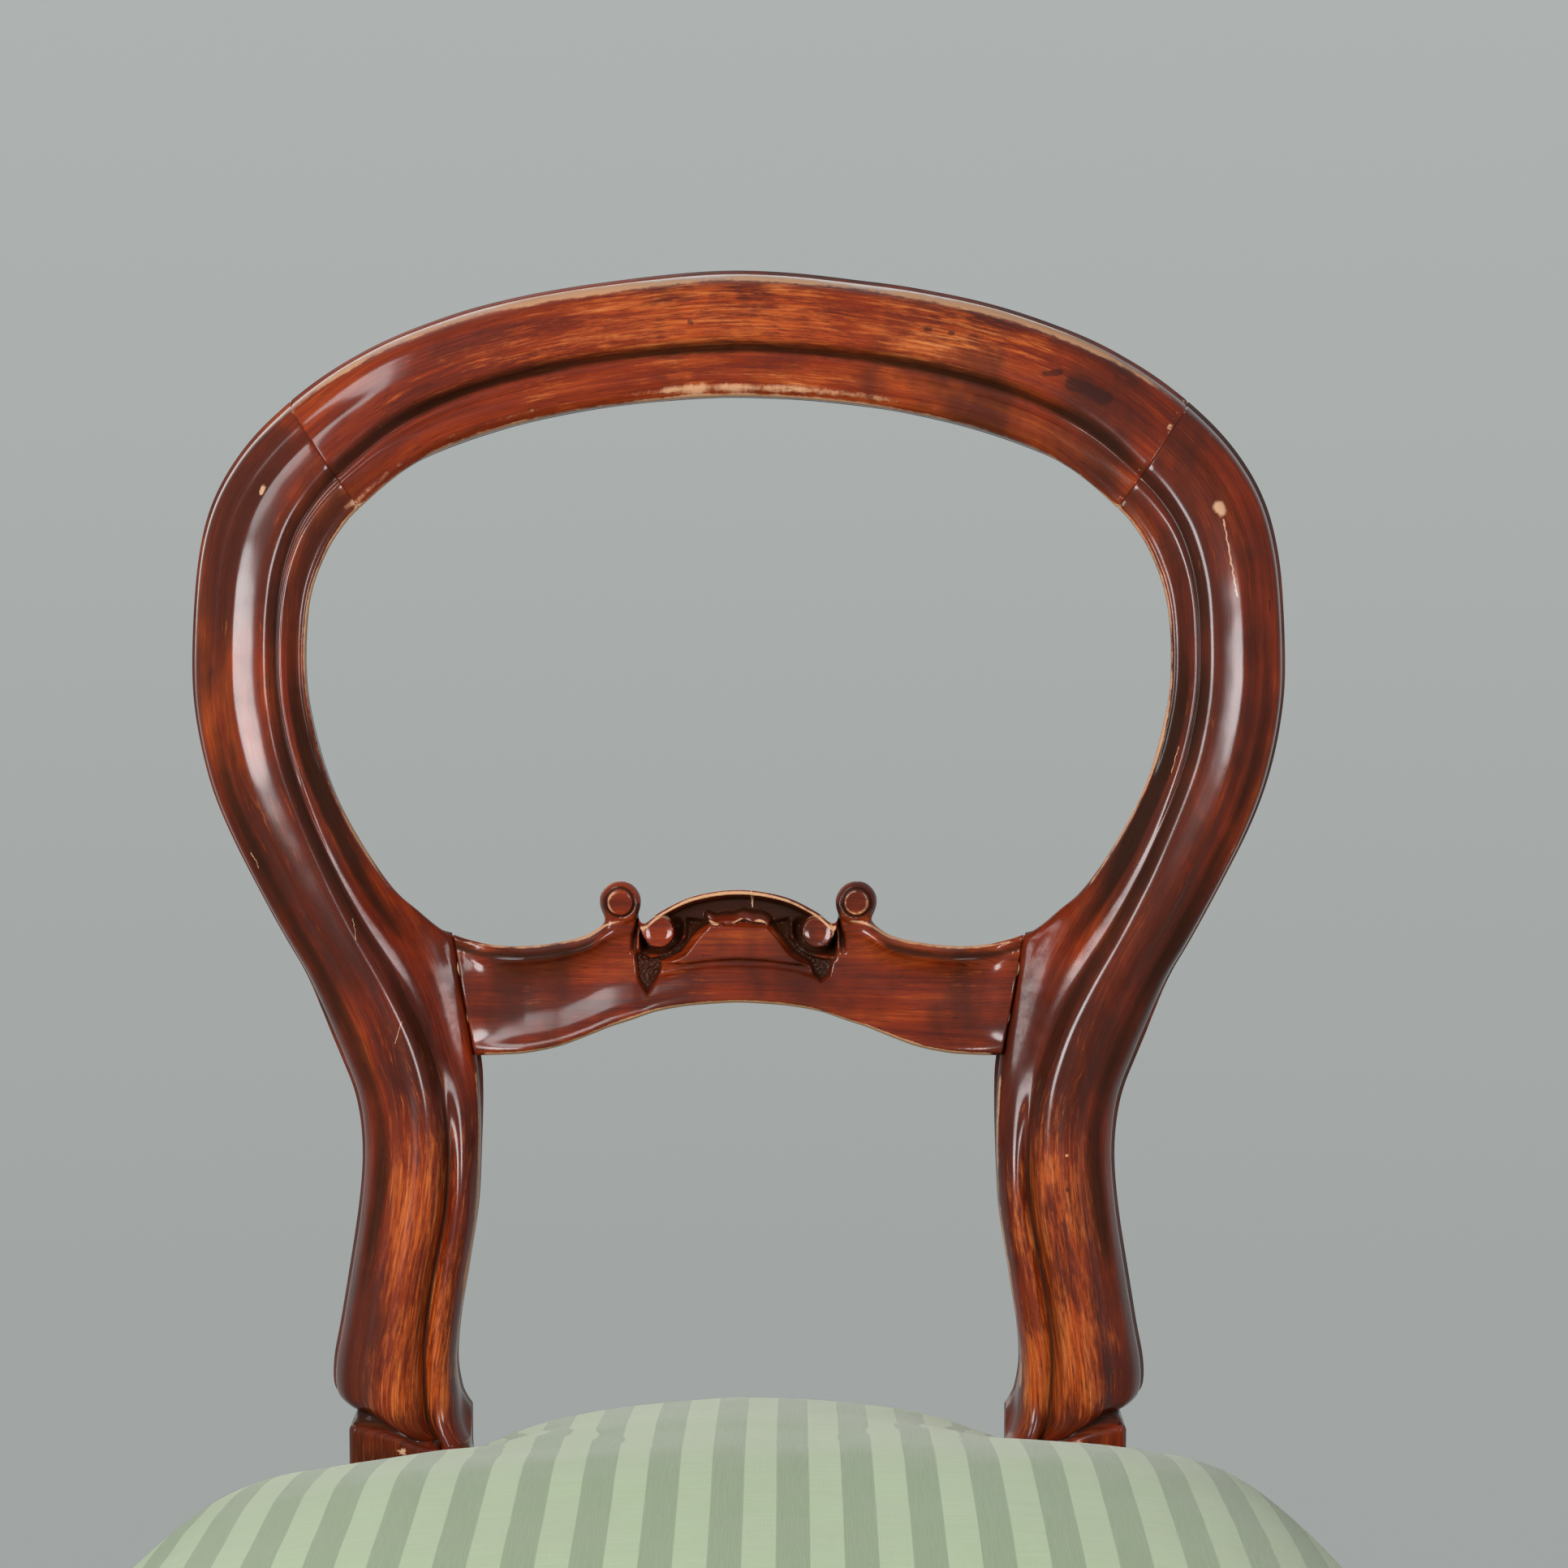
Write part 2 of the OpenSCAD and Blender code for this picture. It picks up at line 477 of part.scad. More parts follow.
// Frame of the carving: X across, Y down the lean of the back, Z out of the front face
carving_mid_h = block_top_h + inner_scroll_shares[1] * back_rise;
module carving_plane() {
    translate([0, spine_y(0, carving_mid_h), carving_mid_h])
        rotate([90 - spine_angle(carving_mid_h), 0, 0]) children();
}
function carved(p) = [p[0] * half_back,
    (block_top_h + p[1] * back_rise - carving_mid_h) / cos(spine_angle(carving_mid_h))];
hollow_face = rail_depth * (rail_mid_form_shares[6][1] - 1 / 2);
arch_line = concat([for (p = arch_shares) carved(p)],
    [for (i = [len(arch_shares) - 2:-1:0]) x_flip(carved(arch_shares[i]))]);
module carving_solid(from, to) {
    translate([0, 0, from]) linear_extrude(to - from) children();
}
module cross_rail() {
    root = hollow_face - carving_t * carving_foot_share;
    inner = carved(inner_scroll_shares);
    outer = carved([outer_scroll_share, outer_scroll_top_share + outer_scroll_up / back_rise]);
    color(wood_colour) difference() {
        union() {
            skin([for (r = rail_rows) rail_ring(r, 1, r[4] < 1 / 2 ? seam_gap : 0),
                for (i = [len(rail_rows) - 2:-1:0]) rail_ring(rail_rows[i], -1,
                    rail_rows[i][4] < 1 / 2 ? seam_gap : 0)], rail_cap(1), rail_cap(-1));
            carving_plane() {
                for (side = [1, -1]) {
                    translate([side * inner[0], inner[1], root])
                        cylinder(r = inner_scroll_r, h = carving_t * (1 + carving_foot_share));
                    translate([side * outer[0], outer[1], -hollow_face])
                        cylinder(r = outer_scroll_r, h = 2 * hollow_face + carving_t);
                    carving_solid(root, hollow_face + carving_t * leaf_rise_share)
                        polygon([for (p = leaf_shares) side > 0 ? carved(p) : x_flip(carved(p))]);
                }
                carving_solid(root, hollow_face + carving_t) polygon(concat(arch_line,
                    [for (p = backwards(arch_line)) p - [0, arch_band_w]]));
                carving_solid(root, hollow_face + carving_t * tablet_rise_share)
                    polygon(concat([for (p = tablet_shares) carved(p)],
                        [for (i = [len(tablet_shares) - 2:-1:0]) x_flip(carved(tablet_shares[i]))]));
            }
        }
        cross_rail_dowel_pair(glue_gap);
        mirror([1, 0, 0]) cross_rail_dowel_pair(glue_gap);
    }
}

module cross_rail_dowels() {
    color(dowel_colour) {
        cross_rail_dowel_pair(0);
        mirror([1, 0, 0]) cross_rail_dowel_pair(0);
    }
}

// Seat outline as points, from the right post round to the middle of the front
function seat_point(s) = [s[0] * (block_out - seat_in) + s[1] * half_seat,
    seat_front + s[2] * seat_d];
function seat_flip(s) = [-s[0], -s[1], s[2]];
last_seat_row = len(seat_shares) - 1;
function seat_row(i) = i < 0 ? 2 * seat_shares[0] - seat_shares[1]
    : i > last_seat_row ? seat_flip(seat_shares[2 * last_seat_row - i]) : seat_shares[i];
seat_half = [for (i = [0:last_seat_row - 1], k = [0:seat_steps - 1])
    seat_point(spline(seat_row(i - 1), seat_row(i), seat_row(i + 1), seat_row(i + 2),
        k / seat_steps)), seat_point(seat_row(last_seat_row))];
seat_last = len(seat_half) - 1;
function tangent_at(i) = i == seat_last ? [-1, 0]
    : i == 0 ? unit(seat_half[1] - seat_half[0]) : unit(seat_half[i + 1] - seat_half[i - 1]);
// Inward normal, to the left of the way from the post to the front, seen from above
function inward_at(i) = [tangent_at(i)[1], -tangent_at(i)[0]];
function inset_at(i, t) = seat_half[i] + inward_at(i) * t;

leg_from = round(leg_from_row * seat_steps);
leg_to = round(leg_to_row * seat_steps);
rail_end_out = seat_half[0][0] - rail_inset;
rail_end_in = rail_end_out - rail_t;
post_row_at = post_row * seat_steps;
function rail_outer(i) = inset_at(i, rail_inset);
function rail_inner(i) = inset_at(i, rail_inset + rail_t);

// Joints of the side rail and the front rail with the leg's block, and of the side rail with the post
side_joint_mid = (rail_outer(leg_from) + rail_inner(leg_from)) / 2;
side_joint_dir = tangent_at(leg_from);
front_joint_mid = (rail_outer(leg_to) + rail_inner(leg_to)) / 2;
front_joint_dir = tangent_at(leg_to);
post_joint_mid = [(rail_end_out + rail_end_in) / 2, post_front];
post_joint_dir = unit((rail_outer(post_row_at) + rail_inner(post_row_at)) / 2 - post_joint_mid);
leg_corner = [rail_inner(leg_to)[0], rail_inner(leg_from)[1]];

module side_rail_outline() {
    polygon(concat([[rail_end_in, post_front], [rail_end_out, post_front]],
        [for (i = [post_row_at:leg_from]) rail_outer(i)],
        [for (i = [leg_from:-1:post_row_at]) rail_inner(i)]));
}
module seat_rail(outline_z) {
    translate([0, 0, rail_bottom_h]) linear_extrude(rail_h) children();
}
module right_side_rail() {
    color(wood_colour) difference() {
        seat_rail() side_rail_outline();
        seat_dowel_bars(glue_gap, "side");
        seat_dowel_bars(glue_gap, "post");
        block_screws(pin_gap);
        web_tacks(pin_gap);
    }
}
module right_seat_rail() { right_side_rail(); }
module left_seat_rail() { color(wood_colour) mirror([1, 0, 0]) right_side_rail(); }

module front_seat_rail() {
    half = [for (i = [leg_to:seat_last]) i];
    outer = [for (i = half) rail_outer(i)];
    inner = [for (i = half) rail_inner(i)];
    color(wood_colour) difference() {
        seat_rail() polygon(concat(outer, [for (i = [len(outer) - 2:-1:0]) x_flip(outer[i])],
            [for (p = inner) x_flip(p)], [for (i = [len(inner) - 2:-1:0]) inner[i]]));
        for (side = [0, 1]) mirror([side, 0, 0]) {
            seat_dowel_bars(glue_gap, "front");
            block_screws(pin_gap);
        }
        web_tacks(pin_gap);
    }
}

back_rail_front = post_mid - rail_t / 2;
back_rail_rear = post_mid + rail_t / 2;
module back_seat_rail() {
    color(wood_colour) difference() {
        translate([-block_in, back_rail_front, rail_bottom_h]) cube([block_gap_w, rail_t, rail_h]);
        for (side = [0, 1]) mirror([side, 0, 0]) {
            seat_dowel_bars(glue_gap, "back");
            block_screws(pin_gap);
        }
        web_tacks(pin_gap);
    }
}

// Front leg: a block at the seat's corner and a curved leg with a knee and a small foot
leg_mid = [half_seat - leg_x, seat_front + leg_y];
leg_shares = [[0, 0.35, 0.58], [0.012, 0.42, 0.62], [0.035, 0.25, 0.60], [0.07, -0.3, 0.50],
    [0.12, -0.8, 0.45], [0.22, -0.95, 0.46], [0.38, -0.6, 0.53], [0.55, 0.1, 0.66],
    [0.72, 0.68, 0.86], [0.84, 0.75, 1], [0.93, 0.45, 0.99], [1, 0.1, 0.88], [1.012, 0, 0.8]];
leg_sides = 20;
leg_squareness = 2.6;
leg_row_steps = 2;
function leg_row(i) = leg_shares[max(0, min(len(leg_shares) - 1, i))];
leg_rows = [for (i = [0:len(leg_shares) - 2], k = [0:leg_row_steps - 1])
    spline(leg_row(i - 1), leg_row(i), leg_row(i + 1), leg_row(i + 2), k / leg_row_steps),
    leg_shares[len(leg_shares) - 1]];
function leg_middle(r) = leg_mid + [1, -1] * (r[1] * knee_out / sqrt(2));
function leg_rim(r) = let (c = leg_middle(r), z = r[0] * rail_bottom_h)
    [for (j = [leg_sides - 1:-1:0]) let (a = 360 * j / leg_sides,
        k = pow(pow(abs(cos(a)), leg_squareness) + pow(abs(sin(a)), leg_squareness),
            -1 / leg_squareness)) [c[0] + r[2] * knee_r * k * cos(a),
        c[1] + r[2] * knee_r * k * sin(a), z]];
module front_leg() {
    last = leg_rows[len(leg_rows) - 1];
    color(wood_colour) difference() {
        union() {
            skin([for (r = leg_rows) leg_rim(r)], concat(leg_middle(leg_rows[0]), 0),
                concat(leg_middle(last), last[0] * rail_bottom_h));
            seat_rail() polygon(concat([for (i = [leg_from:leg_to]) rail_outer(i)],
                [rail_inner(leg_to), leg_corner, rail_inner(leg_from)]));
        }
        seat_dowel_bars(glue_gap, "side");
        seat_dowel_bars(glue_gap, "front");
    }
}
module right_front_leg() { front_leg(); }
module left_front_leg() { color(wood_colour) mirror([1, 0, 0]) front_leg(); }

module seat_rail_dowels() {
    color(dowel_colour) for (side = [0, 1], which = ["front", "side", "back", "post"])
        mirror([side, 0, 0]) seat_dowel_bars(0, which);
}

// Corner blocks, with two screws each
corner_mid_h = rail_bottom_h + rail_h / 2;
front_block_rows = 4; // rows along the front rail
side_block_rows = 2; // rows along the side rail
front_block_to = leg_to + round(front_block_rows * seat_steps / 2);
side_block_from = leg_from - round(side_block_rows * seat_steps);
rear_block_to = post_row_at + seat_steps * 2;
rear_block_reach = 42; // along the back rail
module corner_block(outline) {
    color(raw_wood_colour) difference() {
        translate([0, 0, corner_mid_h - corner_block_h / 2]) linear_extrude(corner_block_h)
            polygon(outline);
        block_screws(pin_gap);
    }
}
front_block_outline = concat([for (i = [side_block_from:leg_from]) rail_inner(i)], [leg_corner],
    [for (i = [leg_to:front_block_to]) rail_inner(i)]);
rear_block_outline = concat([[block_in - rear_block_reach, back_rail_front],
    [block_in, back_rail_front], [block_in, post_front], [rail_end_in, post_front]],
    [for (i = [post_row_at:rear_block_to]) rail_inner(i)]);
module front_right_corner_block() { corner_block(front_block_outline); }
module front_left_corner_block() {
    color(raw_wood_colour) mirror([1, 0, 0]) corner_block(front_block_outline);
}
module rear_right_corner_block() { corner_block(rear_block_outline); }
module rear_left_corner_block() {
    color(raw_wood_colour) mirror([1, 0, 0]) corner_block(rear_block_outline);
}

// A screw: at the rail's inner face point, along a direction into the rail. With a gap it is the
// bore, with the way in for its head.
module screw(at, dir, gap) {
    way = gap > 0 ? screw_way : screw_head_h;
    into_head = screw_head_h / 2;
    bar(concat(at + dir * (screw_grip - screw_seat - into_head) / 2, corner_mid_h), concat(dir, 0),
        screw_d + 2 * gap, screw_grip + screw_seat + into_head + 2 * gap);
    bar(concat(at - dir * (screw_seat + way / 2), corner_mid_h), concat(dir, 0),
        screw_head_d + 2 * gap, way);
}
front_screw_row = leg_to + round(seat_steps * front_screw_place);
side_screw_row = leg_from - round(seat_steps * side_screw_place);
rear_side_screw_row = post_row_at + round(seat_steps * rear_screw_place);
rear_screw_x = block_in - rear_block_reach / 3;
module block_screws(gap) {
    screw(rail_inner(front_screw_row), -inward_at(front_screw_row), gap);
    screw(rail_inner(side_screw_row), -inward_at(side_screw_row), gap);
    screw([rear_screw_x, back_rail_front], [0, 1], gap);
    screw(rail_inner(rear_side_screw_row), -inward_at(rear_side_screw_row), gap);
}
module corner_block_screws() {
    color(steel_colour) for (side = [0, 1]) mirror([side, 0, 0]) block_screws(0);
}

// Webs run from the back rail to the front rail, and from side rail to side rail woven through
rear_tack_y = post_mid;
front_tack_y = seat_front + rail_inset + rail_t / 2;
web_end = 8; // how far a web runs past its tacks
web_top_h = rail_bottom_h;
weave_gap = 0.1; // between crossing webs
function web_x(j, y) = block_in * lerp(web_front_shares[j], web_rear_shares[j],
    (y - front_tack_y) / (rear_tack_y - front_tack_y));
function web_dir(j) = unit([web_x(j, rear_tack_y) - web_x(j, front_tack_y),
    rear_tack_y - front_tack_y]);
function cross_y(k) = seat_front + cross_web_shares[k] * seat_d;
rail_line = [for (i = [post_row_at:leg_from]) let (p = inset_at(i, rail_inset + rail_t / 2))
    [p[1], p[0]]];
function rail_x(y) = lookup(y, rail_line);

module web_tacks(gap) {
    for (j = [0:len(web_front_shares) - 1], s = tack_spread_shares, y = [front_tack_y, rear_tack_y])
        let (side_way = [web_dir(j)[1], -web_dir(j)[0]] * s * web_w)
            tack([web_x(j, y), y] + side_way, gap);
    for (k = [0:len(cross_web_shares) - 1], s = tack_spread_shares, side = [1, -1])
        let (y = cross_y(k) + s * web_w) tack([side * rail_x(y), y], gap);
}
module tack(at, gap) {
    translate([at[0], at[1], web_top_h - web_t - tack_head_t])
        cylinder(d = tack_pin_d + 2 * gap, h = tack_head_t + tack_pin_l + gap, $fn = 24);
    if (gap == 0) translate([at[0], at[1], web_top_h - web_t - tack_head_t])
        cylinder(d1 = tack_head_d * tack_crown_share, d2 = tack_head_d, h = tack_head_t, $fn = 24);
}

module webbing_front_to_back() {
    color(jute_colour) difference() {
        for (j = [0:len(web_front_shares) - 1]) {
            a = [web_x(j, front_tack_y), front_tack_y] - web_dir(j) * web_end;
            b = [web_x(j, rear_tack_y), rear_tack_y] + web_dir(j) * web_end;
            side_way = [web_dir(j)[1], -web_dir(j)[0]] * web_w / 2;
            translate([0, 0, web_top_h - web_t]) linear_extrude(web_t)
                polygon([a - side_way, a + side_way, b + side_way, b - side_way]);
        }
        web_tacks(pin_gap);
    }
}

// Height of a woven web's lower face over the plain level: over or under each crossing web
function weave_side(j, k) = (j + k) % 2 == 0 ? 1 : -1;
function cross_web_line(k) = let (y = cross_y(k), flat = web_flat_share * web_w / 2,
    end = rail_x(y) + web_end, last = rail_x(y) - rail_t)
    concat([[-end, 0], [-last, 0]],
        [for (j = [0:len(web_front_shares) - 1], e = [-1, 1])
            [web_x(j, y) + e * flat, weave_side(j, k) * (web_t + weave_gap)]],
        [[last, 0], [end, 0]]);
module webbing_side_to_side() {
    color(jute_colour) difference() {
        for (k = [0:len(cross_web_shares) - 1]) {
            line = cross_web_line(k);
            translate([0, cross_y(k) + web_w / 2, web_top_h - web_t]) rotate([90, 0, 0])
                linear_extrude(web_w) polygon(concat(line,
                    [for (p = backwards(line)) p + [0, web_t]]));
        }
        web_tacks(pin_gap);
    }
}
module webbing_tacks() { color(steel_colour) web_tacks(0); }

// Hourglass springs that stand on the webs. Each is one tube along a helix with closer end turns.
spring_ring_count = 8; // rings in a turn
spring_sides = 6;
spring_from = web_top_h + web_t + weave_gap + wire_d / 2 + soft_gap;
spring_rise = rail_top_h - soft_gap - wire_d / 2 - spring_from;
function spring_lift(t) = let (e = spring_end_pitch_share)
    e * t + (1 - e) * (t - sin(360 * t) / 360 * 180 / PI);
function spring_radius(t) = lerp(spring_waist_r, spring_r, pow(abs(2 * t - 1), 3 / 2));
function spring_at(t) = let (a = 360 * spring_turns * t, r = spring_radius(t))
    [r * cos(a), r * sin(a), spring_from + spring_rise * spring_lift(t)];
spring_rings = spring_turns * spring_ring_count;
module spring() {
    rings = [for (i = [0:spring_rings]) let (t = i / spring_rings, c = spring_at(t),
        out = [cos(360 * spring_turns * t), sin(360 * spring_turns * t), 0])
        [for (j = [0:spring_sides - 1]) let (a = -360 * j / spring_sides)
            c + wire_d / 2 * (out * cos(a) + [0, 0, 1] * sin(a))]];
    skin(rings, spring_at(0), spring_at(1));
}
spring_gap = min([for (i = [0:spring_rings], k = [i + spring_ring_count - 2:spring_rings])
    norm(spring_at(i / spring_rings) - spring_at(k / spring_rings))]) - wire_d;
echo(spring_gap = spring_gap);
module seat_springs() {
    color(steel_colour) for (s = spring_shares)
        translate([s[0] * half_seat, seat_front + s[1] * seat_d, 0]) spring();
}

// Outline of the cover: the seat's outline, the two notches round the post blocks and the tongue
// between them. Each point has its place, its inward way and whether the side reaches the hem.
notch_y = post_front - soft_gap;
notch_x = block_in - soft_gap;
tongue_y = back_rail_rear + rail_inset;
tongue_steps = 4;
cover_points = concat(
    [for (i = [0:seat_last]) if (i == 0 || i % 2 == 1 || i == seat_last)
        [i == 0 ? [seat_half[0][0], notch_y] : seat_half[i],
            i == 0 ? [-1, 0] : inward_at(i), 1]]);
tongue_points = [[[rail_end_out + soft_gap, notch_y], [0, -1], 0],
    [[notch_x + tongue_corner, notch_y], [0, -1], 0], [[notch_x, notch_y], [-1, -1], 0],
    [[notch_x, notch_y + tongue_corner], [-1, 0], 0], [[notch_x, tongue_y - cover_t], [-1, 0], 0],
    [[notch_x - tongue_corner / 2, tongue_y], [0, -1], 1],
    for (k = [tongue_steps - 1:-1:1]) [[notch_x * k / tongue_steps, tongue_y], [0, -1], 1]];
function point_flip(p) = [x_flip(p[0]), x_flip(p[1]), p[2]];
cover_loop = concat([[[0, tongue_y], [0, -1], 1]], backwards(tongue_points), cover_points,
    [for (i = [len(cover_points) - 2:-1:0]) point_flip(cover_points[i])],
    [for (p = tongue_points) point_flip(p)]);
seat_centre = [0, seat_front + seat_mid_share * seat_d];

// How far an outline point belongs to the rear of the seat, where the crown slopes down gently
function rear_part(q) = max(0, min(1, (q[0][1] - rear_from_y) / (post_front - rear_from_y)));
rear_from_y = seat_front + rear_from_share * seat_d;
function in_tongue(q) = q[0][1] > notch_y;
function edge_h(q) = cover_side_z + (in_tongue(q) ? tongue_rise : notch_rise * rear_part(q));
function crown_rise(q, s) = lerp(s[1], 1 - pow(s[0], in_tongue(q) ? tongue_power : notch_power),
    rear_part(q));
// Rings of the cover at a thickness t under its outer face
function cover_ring(s, t) = [for (q = cover_loop)
    let (p = lerp(seat_centre, q[0] + q[1] * t, s[0]))
    [p[0], p[1], lerp(edge_h(q), crown_z, crown_rise(q, s)) - t]];
hem_shares = [0.4, 1];
function hem_ring(s, t, flat) = [for (q = cover_loop)
    let (p = q[0] + q[1] * (t + (q[2] == 1 ? draw_in * s : 0)),
        low = q[2] == 1 ? cover_hem_h : rail_top_h + soft_gap)
    [p[0], p[1], lerp(edge_h(q) - flat, low, s)]];
module seat_cover() {
    outer = concat([for (s = crown_shares) cover_ring(s, 0)],
        [for (s = hem_shares) hem_ring(s, 0, 0)]);
    inner = concat([hem_ring(1, cover_t, cover_t)],
        [for (s = backwards(crown_shares)) cover_ring(s, cover_t)]);
    color(cloth_colour) skin(concat(outer, inner), concat(seat_centre, crown_z),
        concat(seat_centre, crown_z - cover_t));
}

stuffing_gap = cover_t + soft_gap;
module seat_stuffing() {
    base = rail_top_h + hessian_t;
    rings = concat([for (s = crown_shares) cover_ring(s, stuffing_gap)],
        [[for (q = cover_loop) let (p = q[0] + q[1] * (stuffing_gap + draw_in * q[2]))
            [p[0], p[1], base + stuffing_edge]],
        [for (q = cover_loop) let (p = lerp(seat_centre, q[0] + q[1] * rail_inset,
            stuffing_base_share)) [p[0], p[1], base]]]);
    color(hair_colour) skin(rings, concat(seat_centre, crown_z - stuffing_gap),
        concat(seat_centre, base));
}

hessian_clear = cover_t + soft_gap;
hessian_half = concat([[notch_x - hessian_clear, back_rail_rear],
    [notch_x - hessian_clear, notch_y - hessian_clear], [rail_end_out, notch_y - hessian_clear]],
    [for (k = [1:len(cover_points) - 1]) cover_points[k][0]
        + cover_points[k][1] * (rail_inset + soft_gap)]);
module spring_hessian() {
    color(jute_colour) translate([0, 0, rail_top_h]) linear_extrude(hessian_t)
        polygon(concat(hessian_half,
            [for (k = [len(hessian_half) - 2:-1:0]) x_flip(hessian_half[k])]));
}

// Gimp round the front and sides, and between the posts at the rear
gimp_first = 1; // first outline point of the gimp, clear of the post
module gimp_braid() {
    half = [for (i = [gimp_first:seat_last]) i];
    outer = [for (i = half) inset_at(i, gimp_inset - gimp_t)];
    inner = [for (i = half) inset_at(i, gimp_inset)];
    rear_half = notch_x - tongue_corner / 2;
    rear_from = tongue_y - gimp_inset;
    color(gimp_colour) translate([0, 0, cover_hem_h]) linear_extrude(gimp_h) {
        polygon(concat(outer, [for (i = [len(outer) - 2:-1:0]) x_flip(outer[i])],
            [for (p = inner) x_flip(p)], [for (i = [len(inner) - 2:-1:0]) inner[i]]));
        translate([-rear_half, rear_from]) square([2 * rear_half, gimp_t]);
    }
}

left_back_post();
right_back_post();
crest_rail();
cross_rail();
crest_dowels();
cross_rail_dowels();
front_seat_rail();
left_seat_rail();
right_seat_rail();
back_seat_rail();
left_front_leg();
right_front_leg();
seat_rail_dowels();
front_left_corner_block();
front_right_corner_block();
rear_left_corner_block();
rear_right_corner_block();
corner_block_screws();
webbing_front_to_back();
webbing_side_to_side();
webbing_tacks();
seat_springs();
spring_hessian();
seat_stuffing();
seat_cover();
gimp_braid();
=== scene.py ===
# %% [markdown]
# # A balloon back chair
# The real chair is a glued frame of stained hardwood with a stuffed seat. Its solids come from the
# packed model and stay where they are. Every piece that shows gets a finer mesh or a better finish
# here, in the same place. X is the width, Y runs to the back and Z up. Places are worked out in
# millimetres, as in a workshop, and turned into metres where a mesh is made.

# %% The packed frame
import math
import bmesh
import bpy
import numpy as np
import openvdb
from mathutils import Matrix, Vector, noise


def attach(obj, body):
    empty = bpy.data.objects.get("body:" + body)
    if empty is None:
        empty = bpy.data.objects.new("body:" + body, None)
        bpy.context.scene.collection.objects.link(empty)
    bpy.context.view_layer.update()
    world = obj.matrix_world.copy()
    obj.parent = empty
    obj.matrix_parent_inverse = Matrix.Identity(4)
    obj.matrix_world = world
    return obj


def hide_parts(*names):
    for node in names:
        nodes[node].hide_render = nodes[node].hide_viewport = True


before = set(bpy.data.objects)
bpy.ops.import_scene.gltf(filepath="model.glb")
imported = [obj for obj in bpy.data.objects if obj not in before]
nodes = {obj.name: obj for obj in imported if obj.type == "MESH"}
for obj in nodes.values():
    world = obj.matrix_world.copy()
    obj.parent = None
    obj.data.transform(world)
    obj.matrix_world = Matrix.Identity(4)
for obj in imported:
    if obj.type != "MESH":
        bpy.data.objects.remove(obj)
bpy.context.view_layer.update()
MM = 0.001

# %% [markdown]
# ## Writing shaders as sums
# A finish is a sum of masks and patterns. It could be wired by hand in the shader editor, but sums
# are easier to read and to change as text. So `Wire` wraps one socket, and `1 - mask` adds its own
# Math node. `Finish` starts a material and adds any other node.

# %% Wires
class Wire:
    """One socket's output. Sums written with it add their Math nodes."""

    def __init__(self, finish, socket):
        self.finish, self.socket = finish, socket

    def maths(self, what, *values, clamp=False):
        settings = {"operation": what, "use_clamp": clamp}
        return self.finish.add("Math", settings, dict(enumerate(values)))

    def __add__(self, other): return self.maths("ADD", self, other)
    def __sub__(self, other): return self.maths("SUBTRACT", self, other)
    def __rsub__(self, other): return self.maths("SUBTRACT", other, self)
    def __mul__(self, other): return self.maths("MULTIPLY", self, other)
    __radd__, __rmul__ = __add__, __mul__

    def clip(self): return self.maths("ADD", self, 0.0, clamp=True)
    def most(self, other): return self.maths("MAXIMUM", self, other)
    def wave(self): return self.maths("SINE", self)
    def rise(self, low, high):
        """0 below low, 1 above high, and a smooth step between them."""
        return self.finish.add("MapRange", {"interpolation_type": "SMOOTHSTEP"},
                               {0: self, 1: low, 2: high, 3: 0.0, 4: 1.0})


print("what a wire can do besides sums:", sorted(n for n in vars(Wire) if n[:2] != "__"))


# %% Colours and finishes
def rgb(red, green, blue):
    """A colour given in screen values from 0 to 255, as the shader wants it."""
    def straight(c):
        c = c / 255
        return c / 12.92 if c <= 0.04045 else ((c + 0.055) / 1.055) ** 2.4
    return straight(red), straight(green), straight(blue), 1.0


